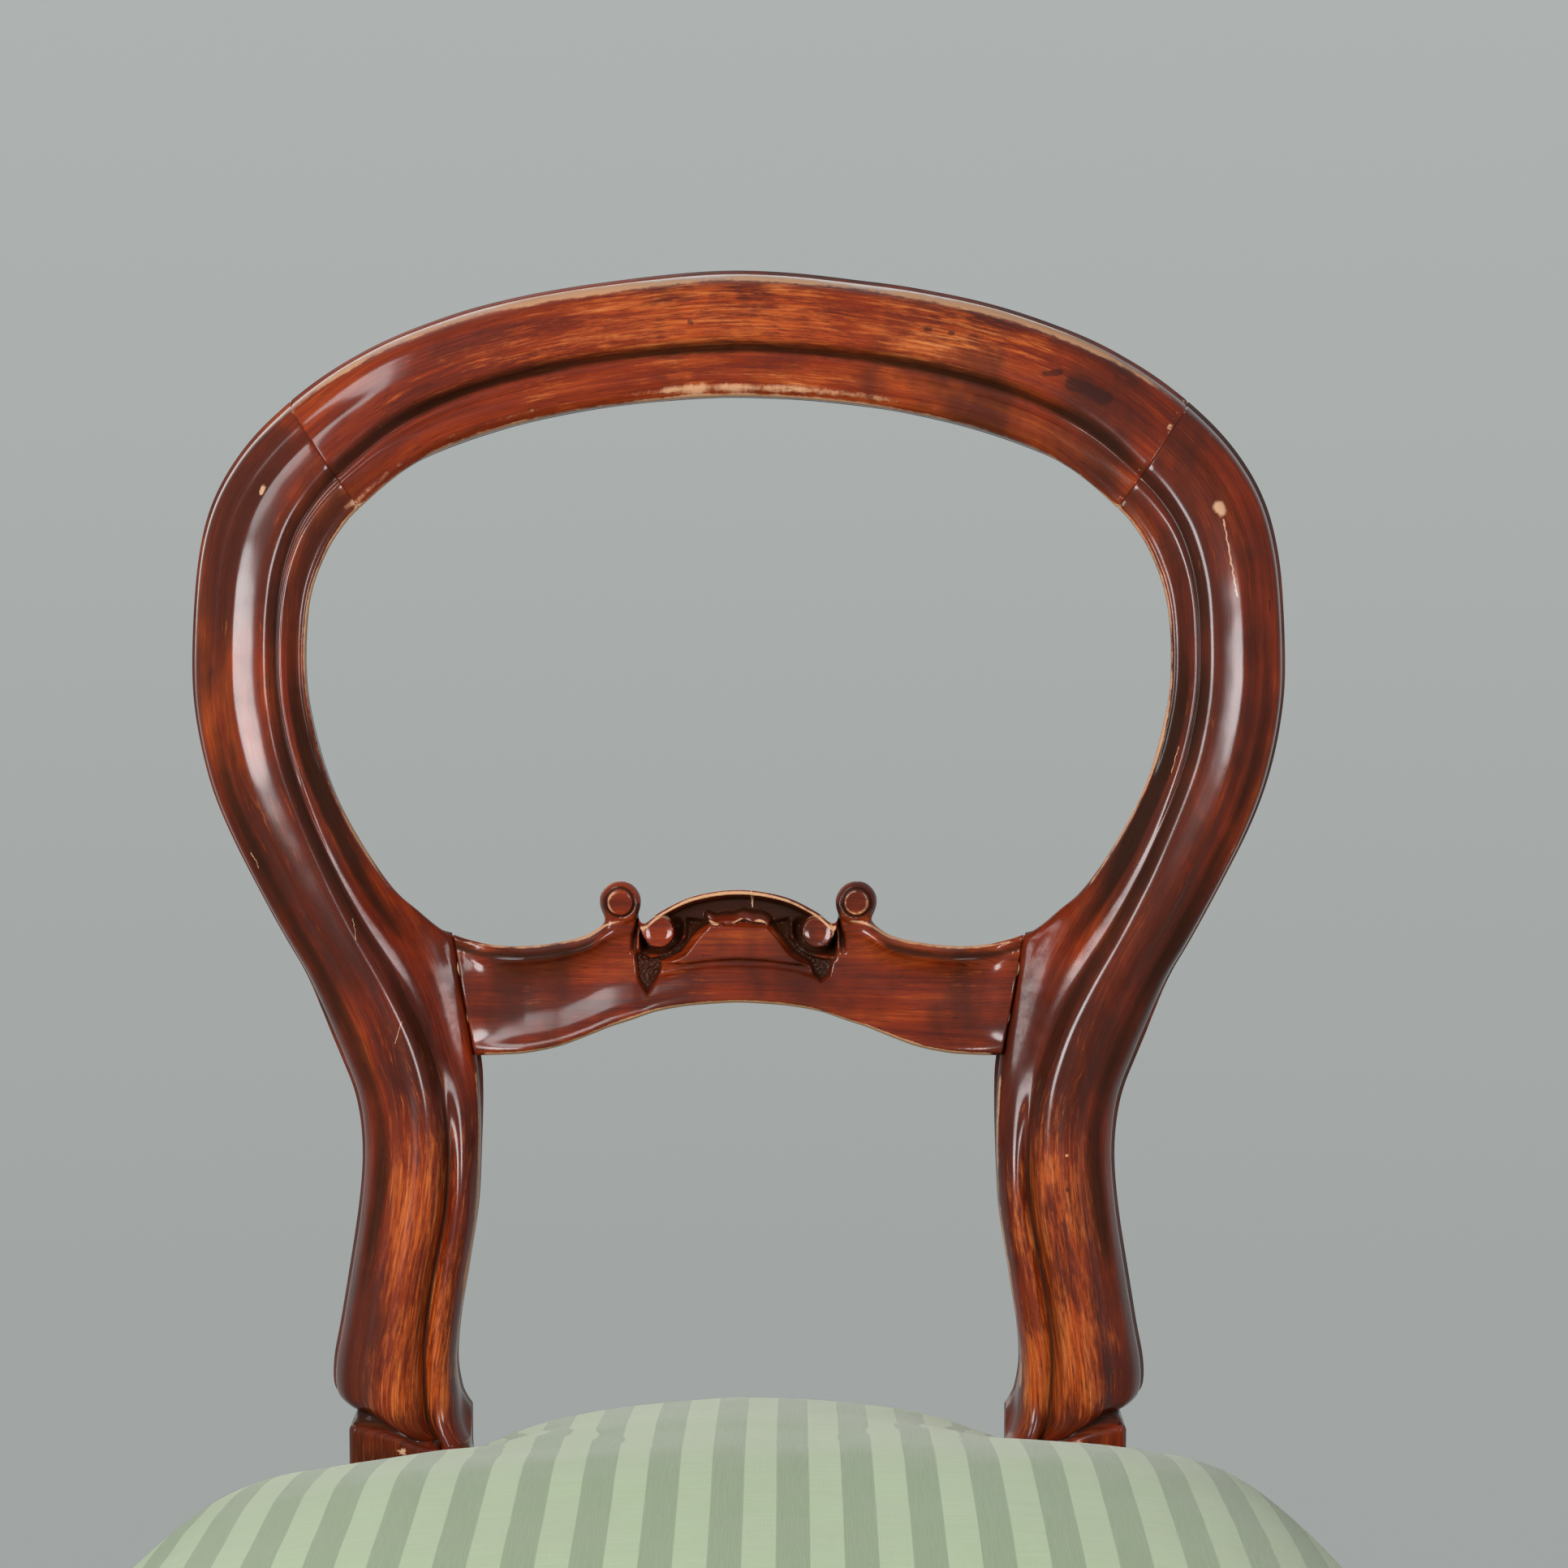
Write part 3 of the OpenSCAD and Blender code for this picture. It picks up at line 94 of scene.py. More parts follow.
class Finish:
    """A material under construction."""

    def __init__(self, name, **constants):
        self.material = bpy.data.materials.new(name)
        self.material.use_nodes = True
        self.tree = self.material.node_tree
        self.surface = next(n for n in self.tree.nodes if n.type == "BSDF_PRINCIPLED")
        for socket, value in constants.items():
            label = socket.replace("_", " ").title().replace("Ior", "IOR")
            self.surface.inputs[label].default_value = value

    def add(self, kind, settings=(), inputs=(), out=0):
        """Adds a node: its settings first, then the values or wires of its sockets."""
        node = self.tree.nodes.new("ShaderNode" + kind)
        for name, value in dict(settings).items():
            if name == "stops":
                ramp = node.color_ramp
                while len(ramp.elements) < len(value):
                    ramp.elements.new(0.5)
                for element, (place, colour) in zip(ramp.elements, value):
                    element.position, element.color = place, colour
            else:
                setattr(node, name, value)
        for socket, value in dict(inputs).items():
            self.put(node.inputs[socket], value)
        return Wire(self, node.outputs[out])

    def put(self, socket, value):
        if isinstance(value, Wire):
            self.tree.links.new(value.socket, socket)
        else:
            socket.default_value = value

    def show(self, **inputs):
        """Feeds the surface's own sockets."""
        for socket, value in inputs.items():
            self.put(self.surface.inputs[socket], value)
        return self.material

    def mix(self, share, first, second):
        """A colour between two."""
        return self.add("Mix", {"data_type": "RGBA"}, {0: share, 6: first, 7: second}, out=2)

    def grains(self, where, stretch, detail=3.0, rough=0.55, shift=0.0):
        """Noise over the vector `where`, stretched by three numbers of features a metre."""
        placed = self.add("VectorMath", {"operation": "MULTIPLY_ADD"},
                          {0: where, 1: stretch, 2: (shift, shift * 1.7, shift * 0.6)})
        return self.add("TexNoise", {}, {"Vector": placed, "Scale": 1.0, "Detail": detail,
                                         "Roughness": rough})

    def uv(self): return self.add("UVMap", {"uv_map": "grain"})
    def place(self): return self.add("TexCoord", out="Object")
    def part(self, vector, axis): return self.add("SeparateXYZ", {}, {0: vector}, out=axis)
    def mark(self, name): return self.add("Attribute", {"attribute_name": name}, out="Fac")

    def bump(self, height, depth, strength=1.0):
        return self.add("Bump", {}, {"Height": height, "Distance": depth, "Strength": strength})


print("polish red:", [round(c, 3) for c in rgb(120, 50, 30)])

# %% [markdown]
# ## The lines that the whole back follows
# The back is one sweep: an outer and an inner line in the front view, a spine that leans back, and
# a section whose form changes from the square block to the moulded crest. A curve with a bevel
# couldn't change its section on the way, so the back is drawn as rings. The rows are shares of the
# back's height and half width, and a smooth curve through them gives as many rings as are needed.

# %% Sizes of the chair, in millimetres
BLOCK_TOP, TOP, HALF_BACK, POST_T = 446.0, 880.0, 209.0, 30.0
RISE = TOP - BLOCK_TOP
POST_MID, RAIL_LOW, RAIL_TOP = 153.0, 356.0, 418.0
BLOCK_IN, BLOCK_OUT, FOOT_W, BLOCK_T = 101.5, 147.0, 30.0, 36.0
SEAT_FRONT, HALF_SEAT, SEAT_D = -260.0, 230.0, 395.0
HEEL_MID = 245.0

# Outer x, outer z, inner x, inner z, the groove's place, the form and the depth, from the block up
BACK_ROWS = np.array([
    [0.700, 0.002, 0.489, 0.002, 0.72, 0.0, 1.02],
    [0.722, 0.009, 0.500, 0.010, 0.73, 0.0, 1.03],
    [0.736, 0.020, 0.508, 0.020, 0.73, 0.0, 1.03],
    [0.736, 0.044, 0.515, 0.044, 0.73, 0.0, 1.02],
    [0.724, 0.076, 0.510, 0.077, 0.71, 0.0, 1.00],
    [0.708, 0.124, 0.494, 0.126, 0.70, 0.0, 0.99],
    [0.690, 0.180, 0.477, 0.180, 0.72, 0.0, 0.98],
    [0.683, 0.230, 0.472, 0.238, 0.74, 0.2, 0.97],
    [0.694, 0.275, 0.475, 0.282, 0.72, 0.7, 0.96],
    [0.721, 0.310, 0.482, 0.313, 0.71, 1.0, 0.95],
    [0.740, 0.332, 0.503, 0.366, 0.65, 1.1, 0.94],
    [0.762, 0.356, 0.524, 0.418, 0.54, 1.55, 0.93],
    [0.792, 0.386, 0.594, 0.442, 0.60, 2.0, 0.92],
    [0.823, 0.411, 0.640, 0.463, 0.645, 2.2, 0.91],
    [0.868, 0.450, 0.699, 0.506, 0.69, 2.6, 0.90],
    [0.932, 0.510, 0.743, 0.548, 0.72, 3.0, 0.88],
    [0.972, 0.561, 0.772, 0.590, 0.73, 3.0, 0.87],
    [0.997, 0.622, 0.790, 0.634, 0.735, 3.0, 0.85],
    [1.000, 0.680, 0.793, 0.680, 0.73, 3.0, 0.84],
    [0.992, 0.745, 0.783, 0.720, 0.715, 3.0, 0.83],
    [0.966, 0.797, 0.758, 0.753, 0.69, 3.1, 0.82],
    [0.911, 0.843, 0.731, 0.775, 0.68, 3.2, 0.81],
    [0.830, 0.883, 0.698, 0.793, 0.67, 3.3, 0.80],
    [0.731, 0.918, 0.614, 0.827, 0.65, 3.6, 0.79],
    [0.611, 0.947, 0.525, 0.849, 0.63, 4.0, 0.78],
    [0.452, 0.972, 0.390, 0.869, 0.62, 4.0, 0.77],
    [0.246, 0.990, 0.220, 0.884, 0.61, 4.0, 0.76],
    [0, 1, 0, 0.891, 0.61, 4.0, 0.76]])
SEAM_ROW, JUNCTION_ROW = 22, 11
FLIP = np.array([-1, 1, -1, 1, 1, 1, 1])
print("back:", 2 * HALF_BACK, "mm wide,", RISE, "mm over its blocks")

# %% The section's forms: across (0 outer edge, 1 groove, 2 inner edge) and height over the rear
BLOCK_FORM = [[0, 0.3], [0, 0.6], [0, 0.93], [0.05, 1], [0.15, 1], [0.27, 1], [0.4, 1],
    [0.52, 1], [0.64, 1], [0.76, 1], [0.88, 1], [0.95, 1], [1, 1], [1.12, 1], [1.26, 1], [1.42, 1],
    [1.6, 1], [1.83, 1], [2, 0.93], [2, 0.5], [2, 0.04], [1.9, 0], [0.1, 0], [0, 0.04]]
FOOT_FORM = [[0, 0.34], [0.05, 0.50], [0.11, 0.62], [0.17, 0.68], [0.24, 0.71],
    [0.32, 0.76], [0.41, 0.86], [0.5, 0.94], [0.6, 0.985], [0.7, 1], [0.8, 0.985], [0.9, 0.93],
    [0.97, 0.85], [1.04, 0.77], [1.14, 0.775], [1.28, 0.83], [1.45, 0.86], [1.64, 0.83],
    [1.84, 0.73], [2, 0.50], [1.93, 0.12], [1.82, 0], [0.1, 0], [0, 0.14]]
WEB_FORM = [[0, 0.32], [0.05, 0.48], [0.12, 0.60], [0.2, 0.66], [0.28, 0.70],
    [0.34, 0.73], [0.42, 0.80], [0.5, 0.88], [0.58, 0.935], [0.68, 0.97], [0.79, 0.985],
    [0.88, 0.95], [0.95, 0.86], [1.02, 0.77], [1.12, 0.72], [1.26, 0.675], [1.42, 0.63],
    [1.62, 0.58], [1.84, 0.54], [2, 0.52], [1.98, 0.06], [1.93, 0], [0.08, 0], [0, 0.12]]
COVE_FORM = [[0, 0.32], [0.04, 0.50], [0.09, 0.60], [0.14, 0.65], [0.26, 0.72],
    [0.33, 0.755], [0.41, 0.82], [0.49, 0.90], [0.575, 0.945], [0.685, 0.975], [0.8, 0.99],
    [0.89, 0.97], [0.965, 0.90], [1.03, 0.83], [1.12, 0.80], [1.26, 0.79], [1.42, 0.73],
    [1.62, 0.59], [1.84, 0.51], [2, 0.48], [1.8, 0.08], [1.7, 0], [0.08, 0], [0, 0.12]]
SIDE_FORM = [[0, 0.32], [0.035, 0.53], [0.07, 0.605], [0.11, 0.635], [0.25, 0.735],
    [0.32, 0.775], [0.4, 0.84], [0.48, 0.92], [0.57, 0.955], [0.69, 0.98], [0.81, 0.995],
    [0.9, 0.985], [0.98, 0.93], [1.06, 0.88], [1.14, 0.872], [1.24, 0.885], [1.45, 0.82],
    [1.76, 0.72], [1.92, 0.70], [2, 0.60], [1.86, 0.12], [1.7, 0], [0.08, 0], [0, 0.12]]
CREST_FORM = [[0, 0.40], [0.03, 0.60], [0.08, 0.78], [0.15, 0.90], [0.24, 0.955],
    [0.34, 0.975], [0.45, 0.99], [0.56, 1], [0.68, 1], [0.79, 0.985], [0.87, 0.95], [0.94, 0.87],
    [1, 0.79], [1.1, 0.735], [1.22, 0.745], [1.36, 0.80], [1.52, 0.84], [1.7, 0.80], [1.87, 0.72],
    [2, 0.56], [2, 0.12], [1.85, 0], [0.1, 0], [0, 0.14]]
FORMS = np.array([BLOCK_FORM, FOOT_FORM, WEB_FORM, COVE_FORM, SIDE_FORM, CREST_FORM])
SUBSTEPS = 4
AROUND = FORMS.shape[1] * SUBSTEPS
print("rows:", len(BACK_ROWS), "points in a ring:", AROUND)


# %% Smooth steps, hills and curves
def step(value, low, high):
    """0 below low, 1 above high, with a smooth rise between them."""
    t = np.clip((value - low) / (high - low), 0, 1)
    return t * t * (3 - 2 * t)


def hill(value, middle, half):
    """1 at the middle, falling smoothly to nothing on either side."""
    return np.exp(-((value - middle) / half) ** 2)


def smooth_at(table, places):
    """Points on a smooth curve through a table's rows, at places counted in rows."""
    table = np.asarray(table, float)
    places = np.atleast_1d(np.asarray(places, float))
    k = np.clip(np.floor(places).astype(int), 0, len(table) - 2)
    t = (places - k).reshape((-1,) + (1,) * (table.ndim - 1))
    a, b, c, d = (table[np.clip(k + i, 0, len(table) - 1)] for i in (-1, 0, 1, 2))
    return (2 * b + (c - a) * t + (2 * a - 5 * b + 4 * c - d) * t ** 2
            + (3 * b - a - 3 * c + d) * t ** 3) / 2


def along_line(line):
    """How far along a line each of its points lies."""
    return np.concatenate([[0], np.cumsum(np.linalg.norm(np.diff(line, axis=0), axis=1))])


def spine(x, z):
    """How far back the middle of the back lies."""
    u = (z - BLOCK_TOP) / RISE
    lean = POST_MID + 28 * u + 38 * u * u + 10 * u * (1 - (x / HALF_BACK) ** 2)
    leg = POST_MID + (HEEL_MID - POST_MID) * np.maximum(0, 1 - z / RAIL_LOW) ** 1.6
    return np.where(z >= BLOCK_TOP, lean, np.where(z >= RAIL_LOW, POST_MID, leg))


print("spine at the crest:", float(spine(0.0, TOP)))

# %% [markdown]
# ## Meshes from rings
# A piece of turned or moulded wood is a row of sections, so its mesh is a loft over rings with as
# many points each. Modifiers could give the same skin, but rings also give the wood's map: the way
# along the piece and the way round it. The grain then follows every bend.

# %% A mesh from points and faces
def signed_volume(mesh):
    """Litres inside a closed mesh, below 0 where its faces look inwards."""
    form = bmesh.new()
    form.from_mesh(mesh)
    volume = form.calc_volume(signed=True) * 1000
    form.free()
    return volume


def make_mesh(name, points, faces, grain=None):
    """An object from points in millimetres, with its faces outwards and its wood's map."""
    mesh = bpy.data.meshes.new(name)
    mesh.from_pydata((np.asarray(points) * MM).tolist(), [], faces)
    mesh.polygons.foreach_set("use_smooth", [True] * len(mesh.polygons))
    if grain is not None:
        loops = np.empty(len(mesh.loops), np.int32)
        mesh.loops.foreach_get("vertex_index", loops)
        layer = mesh.uv_layers.new(name="grain")
        layer.data.foreach_set("uv", (np.asarray(grain)[loops] * MM).astype(np.float32).ravel())
    if signed_volume(mesh) < 0:
        mesh.flip_normals()
    piece = bpy.data.objects.new(name, mesh)
    bpy.context.scene.collection.objects.link(piece)
    return piece


print("points are in millimetres, meshes in metres:", MM)


# %% A solid over rings
def loft_faces(rings, around, flip=False):
    """Quads between one ring and the next."""
    faces = []
    for i in range(rings - 1):
        for j in range(around):
            a, b = i * around + j, i * around + (j + 1) % around
            quad = [a, b, b + around, a + around]
            faces.append(quad[::-1] if flip else quad)
    return faces


def grain_of(rings, start=0.0):
    """The way along and the way round each ring's points, in millimetres."""
    gap = np.linalg.norm(np.diff(rings, axis=1, append=rings[:, :1]), axis=2)
    round_ = np.cumsum(gap, axis=1) - gap
    along = np.repeat(along_line(rings.mean(1))[:, None] + start, rings.shape[1], 1)
    return np.stack([along, round_], 2).reshape(-1, 2)


def solid_part(rings, start=0.0, flip=False):
    """Points, faces and map of a closed solid over rings, with a flat fan at either end."""
    m, n = rings.shape[:2]
    points = np.concatenate([rings.reshape(-1, 3), rings[:1].mean(1), rings[-1:].mean(1)])
    faces = loft_faces(m, n, flip=flip)
    for j in range(n):
        k = (j + 1) % n
        low, high = [k, j, m * n], [(m - 1) * n + j, (m - 1) * n + k, m * n + 1]
        faces += [low[::-1], high[::-1]] if flip else [low, high]
    grain = grain_of(rings, start)
    return points, faces, np.concatenate([grain, grain[:1], grain[-1:]])


def loft(name, rings, start=0.0, flip=False):
    return make_mesh(name, *solid_part(rings, start, flip))


print("faces between two rings of", AROUND, "points:", len(loft_faces(2, AROUND)))


# %% Points, noise and marks of a piece
def corners(piece):
    """A piece's points, in millimetres."""
    co = np.empty(len(piece.data.vertices) * 3, np.float32)
    piece.data.vertices.foreach_get("co", co)
    return co.reshape(-1, 3) / MM


def move_corners(piece, points):
    """Moves a piece's own points to places in millimetres."""
    piece.data.vertices.foreach_set("co", (points * MM).astype(np.float32).ravel())
    piece.data.update()


def wobble(points, size, seed):
    """Slow, seeded noise over points, about -1 to 1."""
    return np.array([noise.noise(Vector((p[0] / size + seed, p[1] / size, p[2] / size)))
                     for p in points])


def write_mark(piece, name, values):
    """Stores a value from 0 to 1 at each point, which a finish reads by its name."""
    layer = piece.data.attributes.get(name) or piece.data.attributes.new(name, "FLOAT", "POINT")
    values = np.broadcast_to(values, len(piece.data.vertices))
    layer.data.foreach_set("value", np.clip(values, 0, 1).astype(np.float32))


print("wobble at one place:", wobble([(12.0, 5.0, 3.0)], 26, 1.0).round(3))

# %% [markdown]
# ## Where old wood wears, and where shade is painted
# Polish wears off where an edge stands out, and a hollow is darkened, as dark old polish and as
# painted shade. Both could be painted by hand. Here they are measured from the mesh: the bend at
# each point is averaged over its neighbours, and the shader reads it as a mark. Each piece can add
# marks of its own.

# %% Wear from the bend of the surface
def bend_of(piece, rounds=2):
    """How sharply the surface bends at each point: above 0 on an edge, below 0 in a hollow."""
    mesh = piece.data
    edges = np.empty(len(mesh.edges) * 2, np.int32)
    mesh.edges.foreach_get("vertices", edges)
    edges = edges.reshape(-1, 2)
    co = corners(piece)
    normal = np.empty(len(co) * 3, np.float32)
    mesh.vertices.foreach_get("normal", normal)
    normal = normal.reshape(-1, 3)
    a, b = edges.T
    gap = co[b] - co[a]
    length = np.linalg.norm(gap, axis=1) + 1e-6
    total, count = np.zeros(len(co)), np.zeros(len(co))
    np.add.at(total, a, -(gap * normal[a]).sum(1) / length ** 2)
    np.add.at(total, b, (gap * normal[b]).sum(1) / length ** 2)
    np.add.at(count, a, 1)
    np.add.at(count, b, 1)
    bend = total / np.maximum(count, 1)
    for _ in range(rounds):
        spread = np.zeros(len(co))
        np.add.at(spread, a, bend[b])
        np.add.at(spread, b, bend[a])
        bend = bend / 2 + spread / np.maximum(count, 1) / 2
    return bend


def wear(piece, bare=0.0, edge=6.0, hollow=5.0, rounds=2, rims=1.0, dirt_and_shade=0.0, pale=0.0):
    """Marks a wooden piece's worn edges and painted sheen, its hollows darkened with old polish and
    painted shade, and bare places.
    """
    bend = bend_of(piece, rounds)
    write_mark(piece, "edge", np.maximum((bend * edge - 0.25) * rims, pale))
    # The hollow mark darkens where the surface bends inwards: old polish, and painted shade in the
    # creases.
    write_mark(piece, "hollow", np.maximum(-bend * hollow - 0.15, dirt_and_shade))
    write_mark(piece, "bare", bare)


print("marks on each wooden piece: edge, hollow, bare")

# %% [markdown]
# ## Posts and crest
# Each post is one length of wood from the heel to the slanted crest seam. Above the square block
# the main band starts in a round toe, and the inner band runs out in a scoop. Beside the cross
# rail the post widens into a web. It could be three pieces that are joined, but one loft from the
# floor to the seam keeps the grain and the light unbroken, as in the real post.

# %% The section at one row
SQUARE_FORM = -1


def section_ring(outer, inner, groove, form, depth):
    """A ring between an outer and an inner place, with its (across, height) section."""
    table = smooth_at(FORMS, [form + 1])[0]
    closed = np.concatenate([table[-1:], table, table[:2]])
    section = smooth_at(closed, np.arange(AROUND) / SUBSTEPS + 1)
    if form <= SQUARE_FORM:
        section = sharp_section(table)
    s = section[:, 0]
    share = np.where(s <= 1, s * groove, groove + (s - 1) * (1 - groove))
    flat = np.array(outer) + (np.array(inner) - np.array(outer)) * share[:, None]
    y = spine(flat[:, 0], flat[:, 1]) + depth * (0.5 - section[:, 1])
    return np.stack([flat[:, 0], y, flat[:, 1]], 1), section


def sharp_section(table):
    """Straight lines between a form's points, for the square block."""
    after = np.roll(table, -1, axis=0)
    t = np.arange(SUBSTEPS)[None, :, None] / SUBSTEPS
    return (table[:, None] + (after - table)[:, None] * t).reshape(-1, 2)


print("points of the square section:", len(sharp_section(FORMS[0])))

# %% Rings of the leg and the back, and the foot's toe and scoop
BLOCK_W, TOE_FROM, TOE_DEPTH, SCOOP_FROM = 45.5, 8.0, 6.5, 13.0


def leg_ring(z, width, depth):
    """A square ring of the rear leg or the block."""
    middle = BLOCK_IN + BLOCK_W / 2
    outer, inner = [middle + width / 2, z], [middle - width / 2, z]
    return section_ring(outer, inner, 0.72, SQUARE_FORM, depth)[0]


def back_section(row):
    """The ring and the section at one row of the back."""
    ox, oz, ix, iz, groove, form, depth = row
    return section_ring([ox * HALF_BACK, BLOCK_TOP + oz * RISE],
                        [ix * HALF_BACK, BLOCK_TOP + iz * RISE], groove, form, depth * POST_T)


def foot_shape(ring, section):
    """Rounds the main band's toe and flares the inner band into its scoop."""
    up = ring[:, 2] - BLOCK_TOP
    front = np.clip((section[:, 1] - 0.3) / 0.4, 0, 1)
    toe = np.clip(1 - up / TOE_FROM, 0, 1)
    main = front * np.clip((1.06 - section[:, 0]) / 0.1, 0, 1)
    ring[:, 1] += main * TOE_DEPTH * (1 - np.sqrt(np.maximum(0, 1 - toe ** 2)))
    scoop = np.clip(1 - up / SCOOP_FROM, 0, 1) ** 2
    inner = front * np.clip((section[:, 0] - 1.02) / 0.2, 0, 1) \
        * np.clip((2.05 - section[:, 0]) / 0.1, 0, 1)
    ring[:, 1] -= inner * scoop * POST_T * 0.2
    return ring


foot_ring, foot_section = back_section(BACK_ROWS[0])
foot_ring = foot_shape(foot_ring, foot_section)
print("toe:", round(foot_ring[:, 1].min(), 1), "mm at its front")


# %% Rings from the floor to the top of the block
# Share of the height up to the rail, and how far the leg has grown from its foot to the block
LEG_ROWS = [[0, 0], [0.04, 0.02], [0.25, 0.14], [0.5, 0.36], [0.75, 0.68], [0.93, 1]]


def leg_rings_below(foot, section):
    """The rear leg's and the block's rings. Their inner part meets the foot's first ring."""
    rings = [leg_ring(share * RAIL_LOW, FOOT_W + (BLOCK_W - FOOT_W) * width,
                      FOOT_W + (BLOCK_T - FOOT_W) * width)
             for share, width in smooth_at(LEG_ROWS, np.arange(0, 5.01, 1 / 6))]
    rings += [leg_ring(z, BLOCK_W, BLOCK_T) for z in (340, 360, 380, 400, 415, 424)]
    rings += [leg_ring(z, BLOCK_W, BLOCK_T) for z in np.linspace(426, 444.2, 15)]
    rings += [leg_ring(BLOCK_TOP - 0.6, BLOCK_W - 0.9, BLOCK_T - 0.9),
              leg_ring(BLOCK_TOP, BLOCK_W - 3, BLOCK_T - 3)]
    for ring in rings:
        share = step(section[:, 0], 1.02, 1.12) * step(ring[0, 2], 424, 434)
        ring[:, :2] += (foot[:, :2] - ring[:, :2]) * share[:, None]
    return rings


def settled(rows, rounds, columns):
    """Rows whose given columns are eased between their neighbours."""
    rows = rows.copy()
    for _ in range(rounds):
        rows[1:-1, columns] = (rows[:-2, columns] + 2 * rows[1:-1, columns]
                               + rows[2:, columns]) / 4
    return rows


def post_rows():
    """Rows from the block to the seam. The inner line has a corner where it meets the rail."""
    places = np.concatenate([np.arange(0, 3, 1 / 12), np.arange(3, SEAM_ROW - 0.1, 1 / 9),
                             [SEAM_ROW - 0.03]])
    rows = smooth_at(BACK_ROWS, places)
    past = 2 * BACK_ROWS[JUNCTION_ROW] - BACK_ROWS[JUNCTION_ROW - 1]
    below = np.concatenate([BACK_ROWS[:JUNCTION_ROW + 1], past[None]])
    above = np.concatenate([[[0, 0, 0.434, 0.4153, 0, 0, 0]], BACK_ROWS[JUNCTION_ROW:]])
    rows[:, 2:4] = np.where(
        places[:, None] < JUNCTION_ROW,
        smooth_at(below, np.minimum(places, JUNCTION_ROW))[:, 2:4],
        smooth_at(above, np.maximum(places, JUNCTION_ROW) - (JUNCTION_ROW - 1))[:, 2:4])
    return settled(settled(rows, 4, [0, 1]), 24, [4, 5, 6])


print("rows from the block to the seam:", len(post_rows()))


# %% The whole post, with its web eased beside the cross rail
END_EASE = 1 - 0.35 / 20


def slant_joint(rings, section):
    """Lets the front of the joint between foot and block fall towards the inner side."""
    slant = step(section[:, 0], 0.1, 0.95) * np.clip((section[:, 1] - 0.3) / 0.3, 0, 1)
    for ring in rings:
        near = np.clip(1 - np.abs(ring[:, 2] - BLOCK_TOP) / 23, 0, 1)
        ring[:, 2] -= 9.0 * slant * near * near * (3 - 2 * near)


def ease_web(rings, shares):
    """Evens out the front of the web, first from ring to ring and then both ways in depth."""
    x, y, z = np.moveaxis(rings, 2, 0)
    web = (y < spine(x, z) + 4) * step(z, 520, 575) * (1 - step(z, 665, 700))
    ease = (web * step(shares, 0.6, 1.0) * (1 - step(shares, 1.8, 1.97)))[1:-1, :, None]
    for _ in range(90):
        rings[1:-1] += ease * ((rings[:-2] + rings[2:]) / 2 - rings[1:-1]) * 0.6
    calm = (web * step(shares, 0.9, 1.2) * (shares < 2.01) * step(z, 550, 590))[1:-1, 1:-1]
    for _ in range(30):
        y[1:-1, 1:-1] += calm * ((y[:-2] + y[2:])[:, 1:-1] / 2 - y[1:-1, 1:-1]) * 0.5
        y[1:-1, 1:-1] += calm * ((y[:, :-2] + y[:, 2:])[1:-1] / 2 - y[1:-1, 1:-1]) * 0.3


def shrunk(ring):
    """A ring drawn in a little, which rounds a piece's end at the seam."""
    middle = ring.mean(0)
    return middle + (ring - middle) * END_EASE


def post_rings():
    """The right post's rings and how far across the section each of their points lies."""
    rings = leg_rings_below(foot_ring, foot_section)
    shares = [np.full(AROUND, 0.5)] * len(rings)
    for row in post_rows():
        ring, section = back_section(row)
        rings.append(foot_shape(ring, section))
        shares.append(section[:, 0])
    slant_joint(rings, section)
    rings, shares = np.array(rings), np.array(shares)
    ease_web(rings, shares)
    last = shrunk(back_section(BACK_ROWS[SEAM_ROW])[0])
    return np.concatenate([rings, last[None]]), np.concatenate([shares, shares[-1:]])


right_rings, ring_shares = post_rings()
print("post rings:", right_rings.shape)

# %% [markdown]
# ## Marks of use, painted shade and painted sheen on the back
# The real polish has gone thin on the lower posts and on the crest, so the wood shines golden. The
# rims are worn pale, and dark old polish lies in the groove. Shade is painted as well: in the
# groove, down the outer slopes, on the inner band and in the web; and a pale sheen is painted along
# the crest's inner band. A picture painted over the chair would have to be redrawn for each change
# of its shape. These marks are sums of smooth hills and steps instead, over height and over the
# share across the section, so they follow the mouldings.

# %% Thin polish
def facing_front(x, y, z, behind, fade):
    """1 in front of the back's middle, 0 from `behind` millimetres behind it."""
    return np.clip((spine(x, z) + behind - y) / fade, 0, 1)


def bare_of(points):
    """How thin the polish is, over the front of the back."""
    x, y, z = points.T
    low = hill(z, 515, 60) * 0.5 + hill(z, 460, 18) * 0.45
    low = low * np.clip(1.4 - np.abs(np.abs(x) - 121) / 20, 0, 1)
    crest = hill(z, 858, 26) * np.clip(1.3 - np.abs(x) / 120, 0, 1) * 0.55
    return np.clip(low + crest + 0.16, 0, 1) * facing_front(x, y, z, 0, 8)


print("thin polish on the crest:", bare_of(np.array([[0, 150, 858.0]])).round(2))


# %% Worn rims, pale lines, painted sheen, dark polish and painted shade
def off_the_rail(z):
    """0 at the heights where the cross rail meets the post, 1 above and below."""
    return 1 - step(z, 574, 580) * (1 - step(z, 626, 632))


def rim_of(shares, points):
    """Where edges are worn pale: the crest's upper rim, the outer rims and the inner edges."""
    x, y, z = points.T
    upper = hill(shares, 0.12, 0.16) * step(z, 790, 850)
    inner = hill(shares, 1.95, 0.06) * 0.95 * off_the_rail(z)
    outer = hill(shares, 0.05, 0.1) * 0.45
    return np.clip(upper * 1.6 + inner * 1.3 + outer + 0.06, 0, 1) * facing_front(x, y, z, 9, 4)


